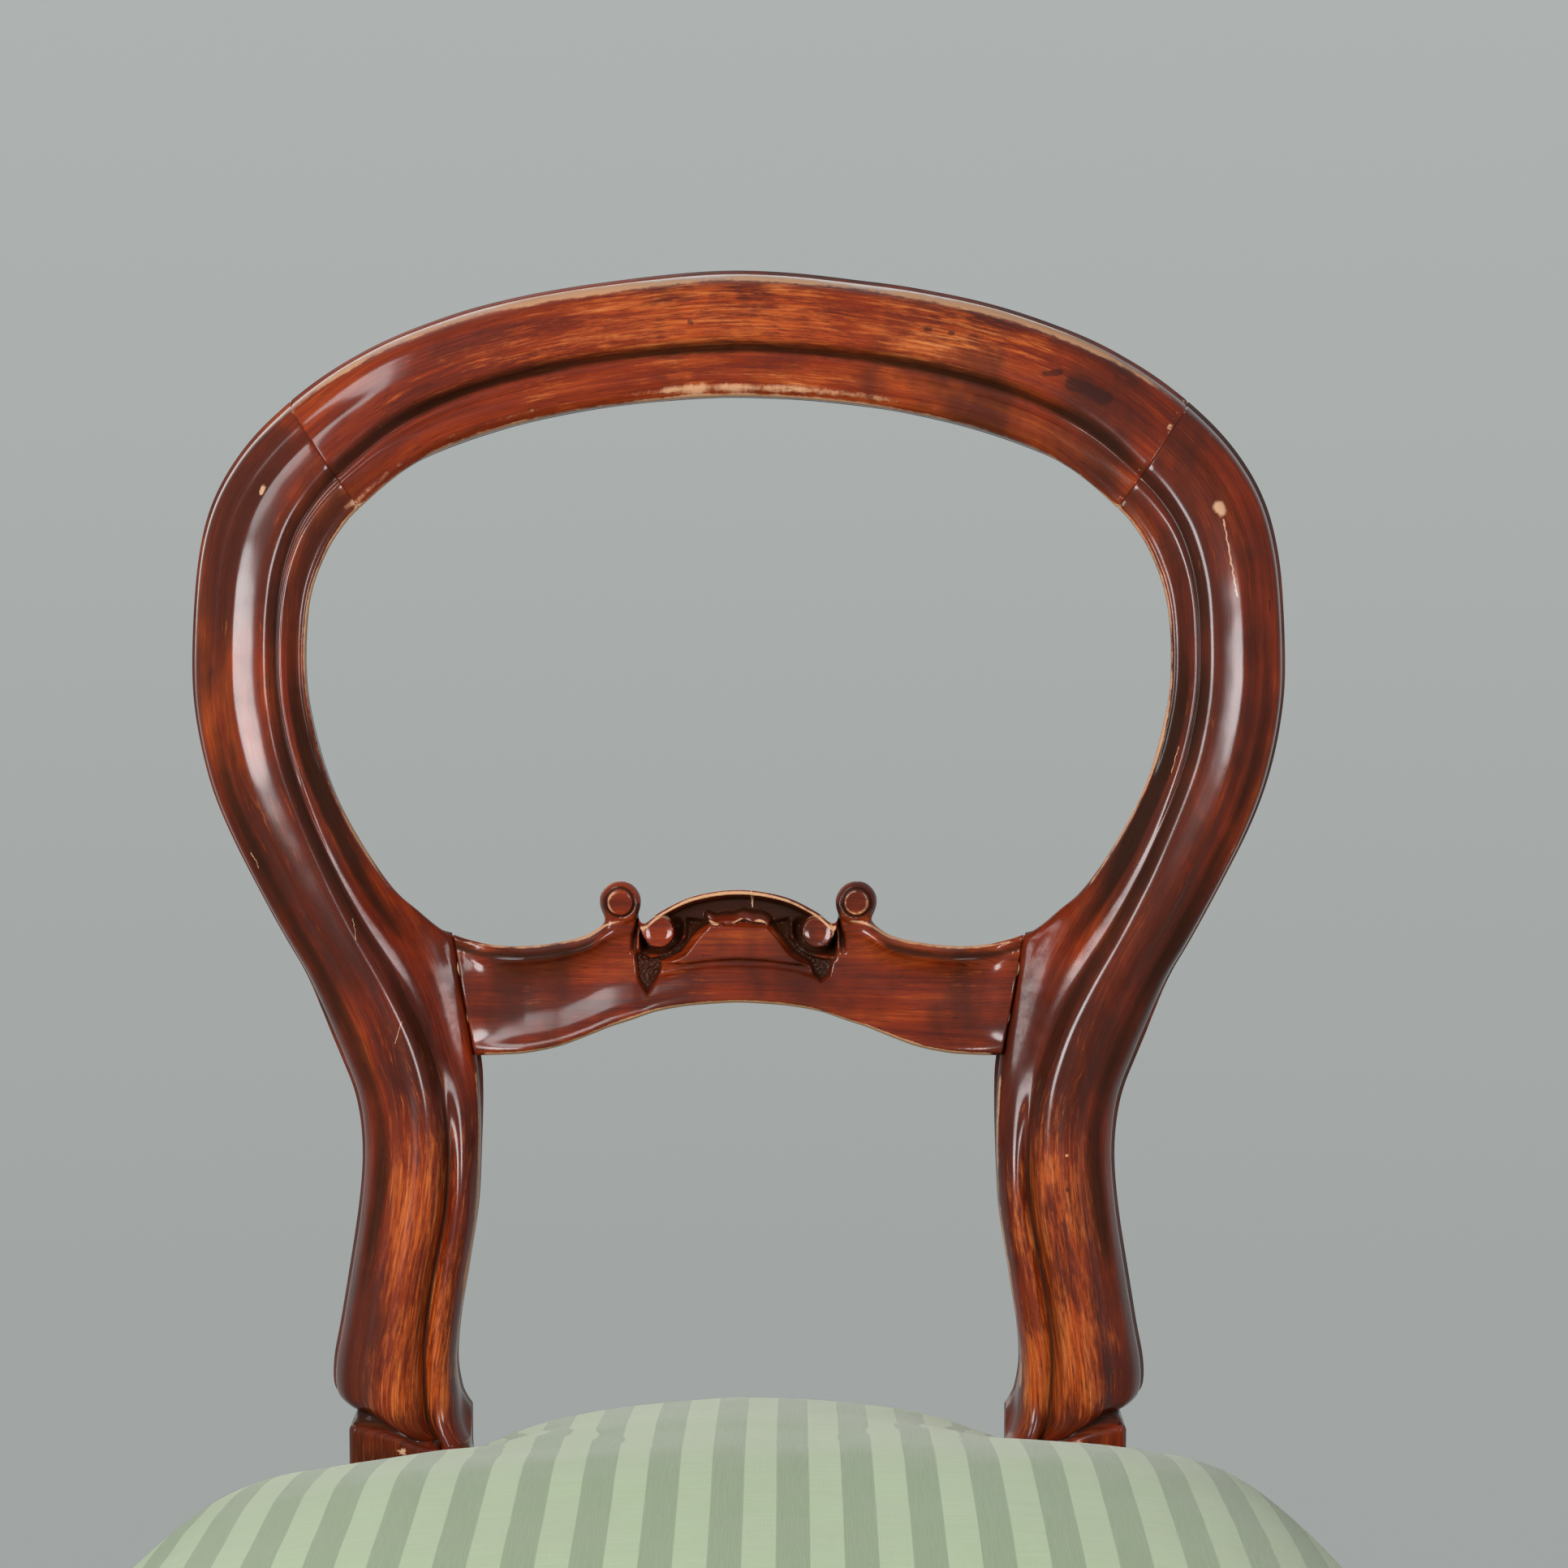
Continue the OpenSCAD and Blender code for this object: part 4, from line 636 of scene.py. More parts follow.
def pale_lines_and_sheen_of(shares, points):
    """The thin pale line along the inner edge, the crest's upper one, and a painted sheen along the
    crest's inner band.
    """
    x, y, z = points.T
    inner = hill(shares, 1.97, 0.04) * 0.8 * off_the_rail(z)
    # The broad pale band along the crest's inner band: pale worn wood with a painted sheen.
    band = hill(shares, 1.80, 0.13) * (0.44 + 0.12 * hill(x, 0, 70)) * step(z, 772, 795)
    upper = hill(shares, 0.06, 0.07) * 0.82 * step(z, 800, 850)
    front = facing_front(x, y, z, 2, 2) * step(z, 452, 460)
    return np.maximum.reduce([inner, band, upper]) * front


def dirt_and_shade_of(shares, points):
    """Dark old polish with painted shade along the groove; painted shade down the outer slopes, on
    the inner band and in the web; darker at the foot.
    """
    x, y, z = points.T
    # The groove holds dark old polish, and it is darkened further as painted shade, most at the
    # crest.
    groove = hill(shares, 0.995, 0.13) * (0.5 + 0.3 * step(z, 780, 830) + 0.2 * hill(z, 660, 80))
    # The outer slopes, low and high on the post, face away from the lamps: their darkness is
    # painted shade.
    slope = (1 - step(shares, 0.2, 0.42)) * step(z, 470, 520) * (0.85 - 0.5 * step(z, 650, 760))
    slope = slope * (1 - step(z, 790, 830))
    side = hill(shares, 0.38, 0.12) * step(z, 640, 700) * (1 - step(z, 800, 840)) * 0.4
    # The inner band and the web beside the cross rail face away from the lamps: painted shade.
    inner = step(shares, 1.3, 1.5) * (1 - step(shares, 1.88, 1.94)) * step(z, 618, 632) \
        * (0.9 - 0.5 * step(z, 690, 770)) * (1 - step(z, 800, 830))
    inner = np.maximum(inner, step(shares, 1.35, 1.7) * (1 - step(shares, 1.9, 1.95)) * 0.45
                       * hill(z, 555, 26))
    # Darker at the foot.
    foot = (1 - step(z, 446, 462)) * 0.4
    return np.maximum.reduce([groove, slope, side, inner, foot]) * facing_front(x, y, z, 0, 6)


def wear_back(piece, shares):
    """All of these marks on a piece of the back."""
    points = corners(piece)
    wear(piece, bare_of(points), rounds=4, rims=rim_of(shares, points),
         dirt_and_shade=dirt_and_shade_of(shares, points), pale=pale_lines_and_sheen_of(shares, points))


print("dark groove:", dirt_and_shade_of(np.array([0.995]), np.array([[0, 170, 700.0]])).round(2))

# %% The two posts, each a little uneven by hand
# Shares of the two points that close a piece's ends, and the chips' places on the blocks
FAN_SHARES = [0.5, 0.5]
BLOCK_CHIPS = {1: (129.5, 438.5), -1: (-127, 436)}


def dress_post(name, side, node):
    """One post's mesh, in place of its packed solid."""
    rings = right_rings * np.array([side, 1, 1])
    piece = loft(name, rings, start=900.0 if side < 0 else 0.0, flip=side < 0)
    points = corners(piece)
    shift = wobble(points, 26, 3.1 + side) * 0.16 + wobble(points, 9, 8.3 - side) * 0.06
    above = np.clip((points[:, 2] - 450) / 10, 0, 1)
    moved = points.copy()
    moved[:, 1] += shift * above
    moved[:, 0] += wobble(points, 22, 5.7 + side) * 0.12 * above
    move_corners(piece, moved)
    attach(piece, "root")
    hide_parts(node)
    return piece


def mark_post(piece, side):
    """Wear, slow ageing, a chip on the block and the dull web beside the cross rail."""
    shares = np.concatenate([ring_shares.ravel(), FAN_SHARES])
    wear_back(piece, shares)
    x, y, z = corners(piece).T
    write_mark(piece, "age", 0.11 - 0.07 * hill(z, 520, 60))
    chip_x, chip_z = BLOCK_CHIPS[side]
    chip = hill(np.hypot(x - chip_x, (z - chip_z) * 1.2), 0, 3.4)
    write_mark(piece, "raw", chip * 0.68 * (y < 142))
    dull = step(shares, 0.95, 1.3) * step(z, 545, 585) * (1 - step(z, 640, 665))
    write_mark(piece, "flat", dull)


posts = []
for name, side, node in (("right_post", 1, "right_back_post"),
                         ("left_post", -1, "left_back_post")):
    post = dress_post(name, side, node)
    mark_post(post, side)
    posts.append(post)
    print(post.name, len(post.data.polygons), "faces")


# %% The crest rail between its two seams
def crest_rings():
    """The crest's rings from seam to seam, and how far across each of a ring's points lies."""
    table = np.concatenate([BACK_ROWS, (BACK_ROWS[-2] * FLIP)[None]])
    between = np.arange(SEAM_ROW + 0.1, len(BACK_ROWS) - 1, 1 / 14)
    rows = smooth_at(table, np.concatenate([[SEAM_ROW + 0.03], between]))
    half = [shrunk(back_section(BACK_ROWS[SEAM_ROW])[0])] + [back_section(row)[0] for row in rows]
    middle, section = back_section(BACK_ROWS[-1])
    other = [ring * np.array([-1, 1, 1]) for ring in half[::-1]]
    return np.array(half + [middle] + other), section[:, 0]


rings, across = crest_rings()
crest = loft("crest", rings, start=2000.0)
points = corners(crest)
moved = points.copy()
moved[:, 1] += wobble(points, 24, 14.0) * 0.16 + wobble(points, 8, 17.0) * 0.07
moved[:, 2] += wobble(points, 19, 11.0) * 0.12
move_corners(crest, moved)
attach(crest, "root")
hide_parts("crest_rail")
wear_back(crest, np.concatenate([np.tile(across, len(rings)), FAN_SHARES]))
seams = np.zeros(len(points))
seams[AROUND:3 * AROUND] = 0.42
seams[-3 * AROUND - 2:-AROUND - 2] = 0.3
write_mark(crest, "raw", seams)
print("crest", len(crest.data.polygons), "faces")

# %% [markdown]
# ## The polish
# Old red-brown polish over a close-grained wood: slow changes of tone, fine streaks and short dark
# pores, dark old polish and painted shade in the hollows, pale wood where edges are worn, with a
# painted sheen and highlight among them, and a clear coat over all. A photographed board would
# repeat itself and break at the joints. Noise that is stretched along the wood's own map does
# neither, and the marks say where the polish is thin, worn through or dirty, and where shade and
# sheen are painted.

# %% Scratches, chips and stains in the front view: from, to and half width
SCARS = [((-181.8, 798.5), (-182.6, 796.5), 0.9), ((184, 791), (184.6, 789.6), 2.2),
         ((185.5, 786), (190.5, 757), 0.28), ((4.6, 646), (5.4, 638), 0.25),
         ((124.6, 547), (124.8, 547), 0.55), ((-146, 636), (-145, 628), 0.13),
         ((-130, 589), (-127.5, 597), 0.11), ((-186, 660), (-183, 654), 0.11),
         ((168, 700), (165, 690), 0.11)]
STAINS = [((129, 838), (141, 832), 3.0), ((118, 841), (124, 842), 1.2),
          ((-18.5, 861.5), (-17.5, 861), 0.8), ((72, 858.5), (74, 858.5), 0.9),
          ((81, 857), (82.5, 856.5), 0.9), ((125.3, 534.4), (125.3, 534), 0.7)]


def scar(f, where, start, end, radius):
    """1 inside a short line in the front view, 0 outside it."""
    a = Vector((start[0], 0, start[1])) * MM
    way = Vector((end[0], 0, end[1])) * MM - a
    flat = f.add("VectorMath", {"operation": "MULTIPLY_ADD"},
                 {0: where, 1: (1, 0, 1), 2: tuple(-a)})
    share = (f.add("VectorMath", {"operation": "DOT_PRODUCT"},
                   {0: flat, 1: tuple(way / way.length_squared)}, out=1)).clip()
    point = f.add("VectorMath", {"operation": "SCALE"}, {0: tuple(way), "Scale": share})
    gap = f.add("VectorMath", {"operation": "DISTANCE"}, {0: flat, 1: point}, out=1)
    return 1.0 - gap.rise(radius * 0.6 * MM, radius * 1.3 * MM)


def scarred_wood(f, where, grain, nibble, raw, colour):
    """Adds the scratches and chips to the raw wood, and the stains to the colour."""
    facing = (f.part(f.add("NewGeometry", out="Normal"), 1) * -1.0).rise(0.1, 0.4)
    ragged = (nibble - 0.5) * 0.0011
    near = f.add("VectorMath", {"operation": "ADD"}, {
        0: where, 1: f.add("CombineXYZ", {}, {0: ragged * 2.0, 2: ragged * 3.0})})
    for line in SCARS:
        raw = raw.most(scar(f, near, *line) * facing)
    blot = f.add("VectorMath", {"operation": "MULTIPLY_ADD"}, {
        0: f.add("TexNoise", {}, {"Vector": grain, "Scale": 90.0, "Detail": 4.0}, out=1),
        1: (0.006,) * 3, 2: (-0.003,) * 3})
    blot = f.add("VectorMath", {"operation": "ADD"}, {0: where, 1: blot})
    for line in STAINS:
        colour = f.mix(scar(f, blot, *line) * facing * 0.7, colour, rgb(38, 13, 8))
    return raw, colour


print("scratches and chips:", len(SCARS), "stains:", len(STAINS))

# %% Polished wood
RED_STOPS = [(0.33, rgb(44, 12, 5)), (0.44, rgb(92, 27, 9)), (0.53, rgb(124, 40, 9)),
             (0.66, rgb(172, 76, 24))]
GOLD_STOPS = [(0.30, rgb(108, 34, 6)), (0.45, rgb(156, 60, 14)), (0.56, rgb(182, 94, 40)),
              (0.72, rgb(204, 140, 88))]


def polished_wood(name, along=None, scarred=False):
    """The polish. `along` turns places into grain where a piece has no map of its own."""
    f = Finish(name, coat_weight=1.0, coat_roughness=0.15, coat_ior=1.36, ior=1.12)
    where = f.place()
    grain = f.uv() if along is None else f.add("Mapping", {}, {0: where, 2: along})
    broad = f.grains(grain, (5, 30, 5), 3, 0.5)
    flame = f.grains(grain, (16, 150, 16), 4, 0.6, 3.1)
    streak = f.grains(grain, (30, 1050, 30), 4, 0.68, 7.7)
    pores = f.grains(grain, (150, 2600, 150), 2, 0.5, 1.3).rise(0.60, 0.70)
    cloudy = f.grains(where, (34, 34, 34), 4, 0.6, 2.2)
    tone = broad * 0.42 + flame * 0.33 + streak * 0.25
    red = f.add("ValToRGB", {"stops": RED_STOPS}, {0: tone})
    aged = (f.grains(where, (17, 17, 9), 4, 0.62, 6.7) + f.mark("age")).rise(0.47, 0.68)
    red = f.mix(aged * 0.8, red, rgb(56, 20, 9))
    gold = f.add("ValToRGB", {"stops": GOLD_STOPS}, {0: streak * 0.65 + flame * 0.35})
    scuffed = f.grains(grain, (75, 700, 75), 5, 0.75, 9.4)
    thin = (f.mark("bare") + (scuffed - 0.5) * 2.0 + (cloudy - 0.5) * 1.2).rise(0.38, 0.95)
    colour = f.mix(thin, red, gold)
    # Dark brown over the hollow mark: old polish in the hollows, and painted shade in creases, on
    # slopes, bands and in the carving.
    dirt_and_shade = (f.mark("hollow") + (cloudy - 0.5) * 0.6).rise(0.12, 0.85)
    colour = f.mix(dirt_and_shade * 0.9, colour, rgb(38, 20, 10))
    colour = f.mix(pores * 0.5, colour, rgb(38, 12, 6))
    nibble = f.grains(where, (260, 260, 260), 4, 0.7, 4.4)
    slow = f.grains(where, (24, 24, 24), 2, 0.5, 6.1)
    # Pale wood over the edge mark: worn rims, and a painted sheen on the crest's inner band and a
    # painted highlight on the tablet's lip.
    rubbed_and_sheen = (f.mark("edge") + (nibble - 0.5) * 0.7 + (slow - 0.5) * 1.4).rise(0.46, 0.80)
    colour = f.mix(rubbed_and_sheen * 0.85, colour, rgb(208, 160, 122))
    raw = (f.mark("raw") + (nibble - 0.5) * 0.9).rise(0.45, 0.6)
    if scarred:
        raw, colour = scarred_wood(f, where, grain, nibble, raw, colour)
    colour = f.mix(raw * 0.9, colour, rgb(205, 160, 126))
    speck = f.grains(grain, (90, 500, 90), 2, 0.5, 5.5).rise(0.72, 0.76)
    colour = f.mix(speck * 0.6, colour, rgb(40, 14, 8))
    dull = f.grains(where, (55, 55, 55), 4, 0.65, 8.8)
    flat = (f.mark("flat") * (f.grains(where, (130, 130, 130), 4, 0.7, 2.9) * 1.6)).clip()
    pits = f.grains(grain, (190, 620, 190), 3, 0.6, 3.7)
    dents = pits.rise(0.60, 0.72) + f.grains(grain, (60, 170, 60), 3, 0.55, 4.9) * 1.2
    coat = 1.0 - (dirt_and_shade * 0.7).most(rubbed_and_sheen * 0.9) - (dull - 0.5).clip() * 0.8
    height = streak * 0.5 - pores * 0.4 + nibble * 0.2 - speck * 0.3 - dents * 0.7
    return f.show(**{
        "Base Color": colour,
        "Roughness": 0.26 + dull * 0.16 + dirt_and_shade * 0.25 + rubbed_and_sheen * 0.2 + flat * 0.2,
        "Coat Weight": coat * (1.0 - flat * 0.8), "Normal": f.bump(height, 0.00014, 0.7)})


polish = polished_wood("polished_wood", scarred=True)
for piece in (*posts, crest):
    piece.data.materials.append(polish)
print("polish nodes:", len(polish.node_tree.nodes))

# %% [markdown]
# ## The carved cross rail
# The real rail is sawn from a board, hollowed at its front and carved with scrolls, an arch and
# leaves. It could be sculpted by hand, but carving is easier to describe as depth than as faces.
# So the rail's body is a solid between four surfaces, the carving is a map of heights on its front,
# and the two outer scrolls are rolls that melt into its upper edge. All of it is worked out on a
# fine grid of points, and one call then draws the skin where the value is zero.

# %% The rail's lines and its front
# Upper x, upper z, lower x, lower z and how far the front has changed from its end's form
RAIL_ROWS = np.array([
    [0.524, 0.4190, 0.482, 0.3130, 0], [0.500, 0.4150, 0.465, 0.3135, 0.2],
    [0.455, 0.4120, 0.430, 0.3145, 0.7], [0.397, 0.4110, 0.384, 0.3165, 1],
    [0.335, 0.4140, 0.328, 0.3220, 1], [0.279, 0.4200, 0.276, 0.3310, 1],
    [0.235, 0.4320, 0.234, 0.3390, 1], [0.195, 0.4350, 0.195, 0.3450, 1],
    [0.172, 0.4310, 0.172, 0.3490, 1], [0.144, 0.4410, 0.144, 0.3530, 1],
    [0.096, 0.4530, 0.096, 0.3570, 1], [0.048, 0.4590, 0.048, 0.3590, 1],
    [0, 0.4610, 0, 0.3600, 1]])
RAIL_T = 0.93 * POST_T
END_FRONT = [[0, 0.56], [0.03, 0.57], [0.07, 0.54], [0.12, 0.53], [0.17, 0.55], [0.22, 0.58],
             [0.32, 0.632], [0.44, 0.665], [0.57, 0.672], [0.70, 0.662], [0.84, 0.655],
             [0.93, 0.668], [1, 0.62]]
MID_FRONT = [[0, 0.55], [0.04, 0.64], [0.09, 0.73], [0.14, 0.74], [0.2, 0.66], [0.3, 0.585],
             [0.42, 0.565], [0.6, 0.585], [0.8, 0.69], [0.90, 0.77], [0.955, 0.78], [1, 0.68]]
print("rail rows:", len(RAIL_ROWS))


# %% Lines, outlines and soft joins
def smooth_line(table, x):
    """Heights on a smooth line through points with rising x."""
    table = np.array(table, float)
    places = np.linspace(0, len(table) - 1, 40 * len(table))
    line = smooth_at(table, places)
    order = np.argsort(line[:, 0])
    return np.interp(x, line[order, 0], line[order, 1])


def smax(a, b, soft):
    """The larger of two fields, rounded where they cross: a soft edge between two solids."""
    return (a + b + np.sqrt((a - b) ** 2 + soft ** 2)) / 2


def smin(a, b, soft): return -smax(-a, -b, soft)


def to_line(x, z, points):
    """Distance from each place to a line of points."""
    best = np.full(np.broadcast(x, z).shape, 1e9)
    for (ax, az), (bx, bz) in zip(points[:-1], points[1:]):
        dx, dz = bx - ax, bz - az
        t = np.clip(((x - ax) * dx + (z - az) * dz) / (dx * dx + dz * dz), 0, 1)
        best = np.minimum(best, np.hypot(x - ax - t * dx, z - az - t * dz))
    return best


def in_shape(x, z, points):
    """Distance to a closed shape's outline, below 0 inside it."""
    inside = np.zeros(np.broadcast(x, z).shape, bool)
    for (ax, az), (bx, bz) in zip(points, points[1:] + points[:1]):
        crosses = (az > z) != (bz > z)
        inside ^= crosses & (x < ax + (z - az) * (bx - ax) / (bz - az + 1e-9))
    distance = to_line(x, z, points + points[:1])
    return np.where(inside, -distance, distance)


print("a soft join of 1 mm moves a corner by", float(smax(0.0, 0.0, 1.0)), "mm")

# %% The carved shapes, in millimetres
INNER_SCROLL, INNER_R = (30.3, 629.6), 6.3
OUTER_SCROLL, OUTER_R = (45.2, 641.0), 7.8
TABLET = [(-11, 632.0), (-15.5, 627.2), (-20.5, 620.9), (-28.5, 617.2), (-20, 617.0), (-10, 618.2),
          (0, 618.8), (10, 618.2), (20, 616.9), (26.5, 616.4), (19.5, 621.0), (15.0, 626.8),
          (11, 631.2)]
GOUGES = [[(-11.5, 633), (-16.5, 627), (-21.5, 620.5), (-29.5, 617.2), (-36, 618.5), (-26, 621.5),
           (-21, 627), (-20, 634)],
          [(11.5, 632.6), (16, 626.5), (20.5, 620.5), (27.5, 616.2), (35, 618.5), (26, 621.5),
           (21, 627), (19.5, 634)]]
LEAVES = [[(-40.0, 623.5), (-37.5, 621), (-28.6, 617.2), (-31.0, 611.0), (-34.8, 605.6),
           (-38.6, 611)],
          [(27.0, 618.0), (36.4, 619.0), (35.0, 612.5), (31.6, 610.2), (28.8, 613)]]
LOW_LINE = [(-32, 613.0), (-24, 615.0), (-12, 616.6), (0, 617.0), (12, 616.6), (24, 615.0),
            (30, 613.2)]
SCROLL_TAIL = [(36.2, 637.2), (36.4, 632.5), (34.6, 628.4)]
SCROLL_CREASE = [(38.3, 640.0), (38.4, 634.0), (39.6, 628.0), (40.2, 621.5)]
PROUD = 8
print("carved shapes:", 1 + len(GOUGES) + len(LEAVES))


# %% The carving as a map of heights over the hollow face
def wavy_lip(x, height):
    """The uneven edge of the tablet under the arch."""
    return height + 0.7 * np.sin(x * 0.33 + 0.6) + 0.3 * np.sin(x * 0.9)


def tool_marks(x, z):
    """Small facets that the gouge leaves in the ground."""
    ripple = 0.5 * np.sin(x * 2.3 + np.sin(z * 1.7) * 1.4) * np.sin(z * 2.1 + x * 0.8)
    return ripple + 0.35 * np.sin(x * 4.1 - z * 3.3)


def cut_ground(x, z, under):
    """The hollow under the arch, with its tablet, lip, gouged sides, leaves and low line."""
    side, rough = np.abs(x), tool_marks(x, z)
    hollow = step(38.5 - side, 0, 2.5) * step(under, 2.6, 5.5) * (1 - step(under, 10.5, 16))
    height = -4.2 * hollow
    plate = in_shape(x, z, TABLET)
    raised = 1.6 * step(-plate, -0.4, 0.9) - 0.5 * step(z, 618, 632)
    height = np.where(plate < 0.4, np.maximum(height, raised), height)
    roll = np.hypot((z - wavy_lip(x, 634.4)) / 2.2, np.maximum(side - 10.5, 0) / 2.6)
    height += 2.4 * np.sqrt(np.maximum(0, 1 - roll ** 2))
    for gouge in GOUGES:
        deep = in_shape(x, z, gouge)
        height = np.where(deep < 0.6, np.minimum(height, 0.6) - step(-deep, -0.6, 2.2)
                          * (4.0 - rough * 0.7), height)
    for leaf in LEAVES:
        deep = in_shape(x, z, leaf)
        cut = step(-deep, -0.5, 1.2) * (2.6 - rough * 0.8)
        height = np.where(deep < 0.5, height - cut, height)
    return height - 1.3 * hill(to_line(x, z, LOW_LINE), 0, 1.9)


def carving(x, z, top):
    """Height of the front over the rail's plain face: the ground, then the arch and scrolls."""
    side, under = np.abs(x), top - z
    height = cut_ground(x, z, under)
    band = step(38.6 - side, 0, 1.5) * (1 - step(under, 2.2, 3.9))
    height = np.maximum(height, band * (12.2 - 0.8 * step(side, 8, 34)) - PROUD)
    scroll = np.hypot(side - INNER_SCROLL[0], z - INNER_SCROLL[1])
    moat = step(10.4 - scroll, 0, 2.4) * step(38 - side, 0, 2) * step(scroll, 5.6, 6.8)
    height -= moat * 3.8 * step(INNER_SCROLL[1] + 5.5 - z, 0, 5)
    tail = to_line(side, z, SCROLL_TAIL)
    height = np.maximum(height, 12.0 * (1 - step(tail, 1.5, 2.7)) - PROUD)
    disc = 1 - step(scroll, INNER_R - 0.7, INNER_R + 0.5)
    height = np.maximum(height, disc * (12.6 - 0.5 * step(INNER_R - scroll, 0.8, 3.5)) - PROUD)
    height -= 3.2 * hill(to_line(side, z, SCROLL_CREASE), 0, 1.0) * step(z, 619, 626)
    return height * step(46 - side, 0, 3)


print("arch stands", round(float(carving(np.zeros(1), np.full(1, 645.0), 646.1)[0]), 1), "mm proud")


# %% The rail's solid body
CELL = 0.4
FIELD_LOW, FIELD_HIGH = (-112.0, 138.0, 577.0), (112.1, 198.0, 653.0)


def rail_lines():
    """The rail's upper and lower lines and its form along x."""
    both = np.concatenate([RAIL_ROWS, (RAIL_ROWS[-2::-1] * np.array([-1, 1, -1, 1, 1]))])[::-1]
    return (np.stack([both[:, 0] * HALF_BACK, BLOCK_TOP + both[:, 1] * RISE], 1),
            np.stack([both[:, 2] * HALF_BACK, BLOCK_TOP + both[:, 3] * RISE], 1),
            np.stack([(both[:, 0] + both[:, 2]) / 2 * HALF_BACK, both[:, 4]], 1))


def seam_at(z):
    """How far out the glued seam with the post lies, which leans outwards."""
    return 100.55 + (z - 581.8) * (9.0 / 46)


def rail_front(x, share):
    """The front's height over the rear, as a share of the thickness, without the carving."""
    blend = np.clip(smooth_line(rail_lines()[2], x), 0, 1)
    front = smooth_line(END_FRONT, share) * (1 - blend) + smooth_line(MID_FRONT, share) * blend
    middle = step(60 - np.abs(x), 0, 14)
    plain = smooth_line(MID_FRONT, np.clip(share, 0.3, 1))
    near = middle * step(np.abs(x), 60, 38)
    return front * (1 - near) + plain * near


def rail_body(x2, z2, y):
    """Below 0 inside the rail, without its outer scrolls."""
    upper, lower, _ = rail_lines()
    top, low = smooth_line(upper, x2), smooth_line(lower, x2)
    share = np.clip((top - z2) / (top - low), 0, 1)
    bowl = 2.6 * (np.clip(np.abs(x2) - 70, 0, 50) / 38) ** 1.6
    back = spine(x2, z2)
    face = back + RAIL_T * (0.5 - rail_front(x2, share)) - carving(x2, z2, top) + bowl
    rear = back + RAIL_T / 2
    solid = smax(face[:, None] - y, y - rear[:, None], 1.6)
    top = top + 0.8 * step(np.abs(x2), 92, 106)
    falls = 0.3 * np.clip(y - face[:, None] - 0.8, 0, 30)
    edge = smax((z2 - top)[:, None] + falls, (low - z2)[:, None], 0.1)
    solid = smax(solid, edge, 1.8)
    return smax(solid, (np.abs(x2) - seam_at(z2))[:, None], 0.5)


print("seam at mid height:", round(seam_at(605.0), 1), "mm from the middle")


# %% The outer scrolls: a rolled knob with a ring cut in its face, on a neck
def outer_scroll(x, y, z):
    """Below 0 inside the knobs and their necks."""
    across = np.abs(x) - OUTER_SCROLL[0]
    radius = np.sqrt(across ** 2 + (z - OUTER_SCROLL[1]) ** 2)
    middle = spine(*OUTER_SCROLL)
    front = middle + RAIL_T * (0.5 - 0.57) - 6.2
    rear = middle + RAIL_T / 2
    shoulder = 2.0 * np.clip((radius - 4.7) / 0.7, 0, 1) \
        + 2.6 * np.clip((radius - 5.6) / 2, 0, 1) ** 2
    curl = step(across, 3.0, -3.0) * step(OUTER_SCROLL[1] - z, -5, 3)
    wall = radius - OUTER_R + 0.14 * np.clip(y - front - 5, 0, 30)
    knob = smax(wall, front + shoulder * (1 - 0.8 * curl) - y, 0.9)
    knob = smax(knob, y - (rear - 1.5), 1.6)
    neck = smax(np.abs(across + 0.5) - 5.6, z - OUTER_SCROLL[1], 1.5)
    neck = smax(smax(neck, 629 - z, 1.5), front + 2.6 - y, 1.5)
    knob = smin(knob, smax(neck, y - (rear - 3), 1.6), 1.4)
    ring = np.abs(radius - 5.5) - 0.45
    return smax(knob, -smax(ring, y - (front + 1.6), 0.3), 0.5)


def cross_rail_field():
    """Values over the grid, below 0 inside the whole rail."""
    x, y, z = (np.arange(low, high, CELL) for low, high in zip(FIELD_LOW, FIELD_HIGH))
    x2, z2 = np.meshgrid(x, z, indexing="ij")
    x, y, z = x[:, None, None], y[None, :, None], z[None, None, :]
    return smin(rail_body(x2, z2, y), outer_scroll(x, y, z), 2.2).astype(np.float32)


field = cross_rail_field()
print("grid:", field.shape)


# %% The skin of the rail
def skin_of(name, field, low):
    """A mesh where a field of values on the grid is zero."""
    grid = openvdb.FloatGrid(5.0)
    grid.copyFromArray(np.clip(field, -5, 5))
    points, quads = grid.convertToQuads(isovalue=0.0)
    points = points * CELL + np.array(low)
    grain = np.stack([points[:, 0] + 700, points[:, 2] + points[:, 1] * 0.7], 1)
    return make_mesh(name, points, quads[:, ::-1].tolist(), grain)


cross_rail = skin_of("carved_cross_rail", field, FIELD_LOW)
print("cross rail:", len(cross_rail.data.polygons), "faces,",
      round(signed_volume(cross_rail.data), 3), "litres")
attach(cross_rail, "root")
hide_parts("cross_rail")


# %% The rail's painted shade and worn edges, and the lip's painted highlight
def rail_painted_shade(x, z, under, side, knob):
    """Painted shade in the carving, under the top edge over the hollow ends and in the knobs' cut
    rings, and darker near the seams.
    """
    dirt_and_shade = step(-carving(x, z, z + under), 0.5, 3.2)
    over = hill(under, 4.2, 2.0) * step(side, 50, 58) * 0.75
    return np.maximum.reduce([dirt_and_shade, over, hill(knob, 5.5, 0.6), hill(side, 107, 6) * 0.45])


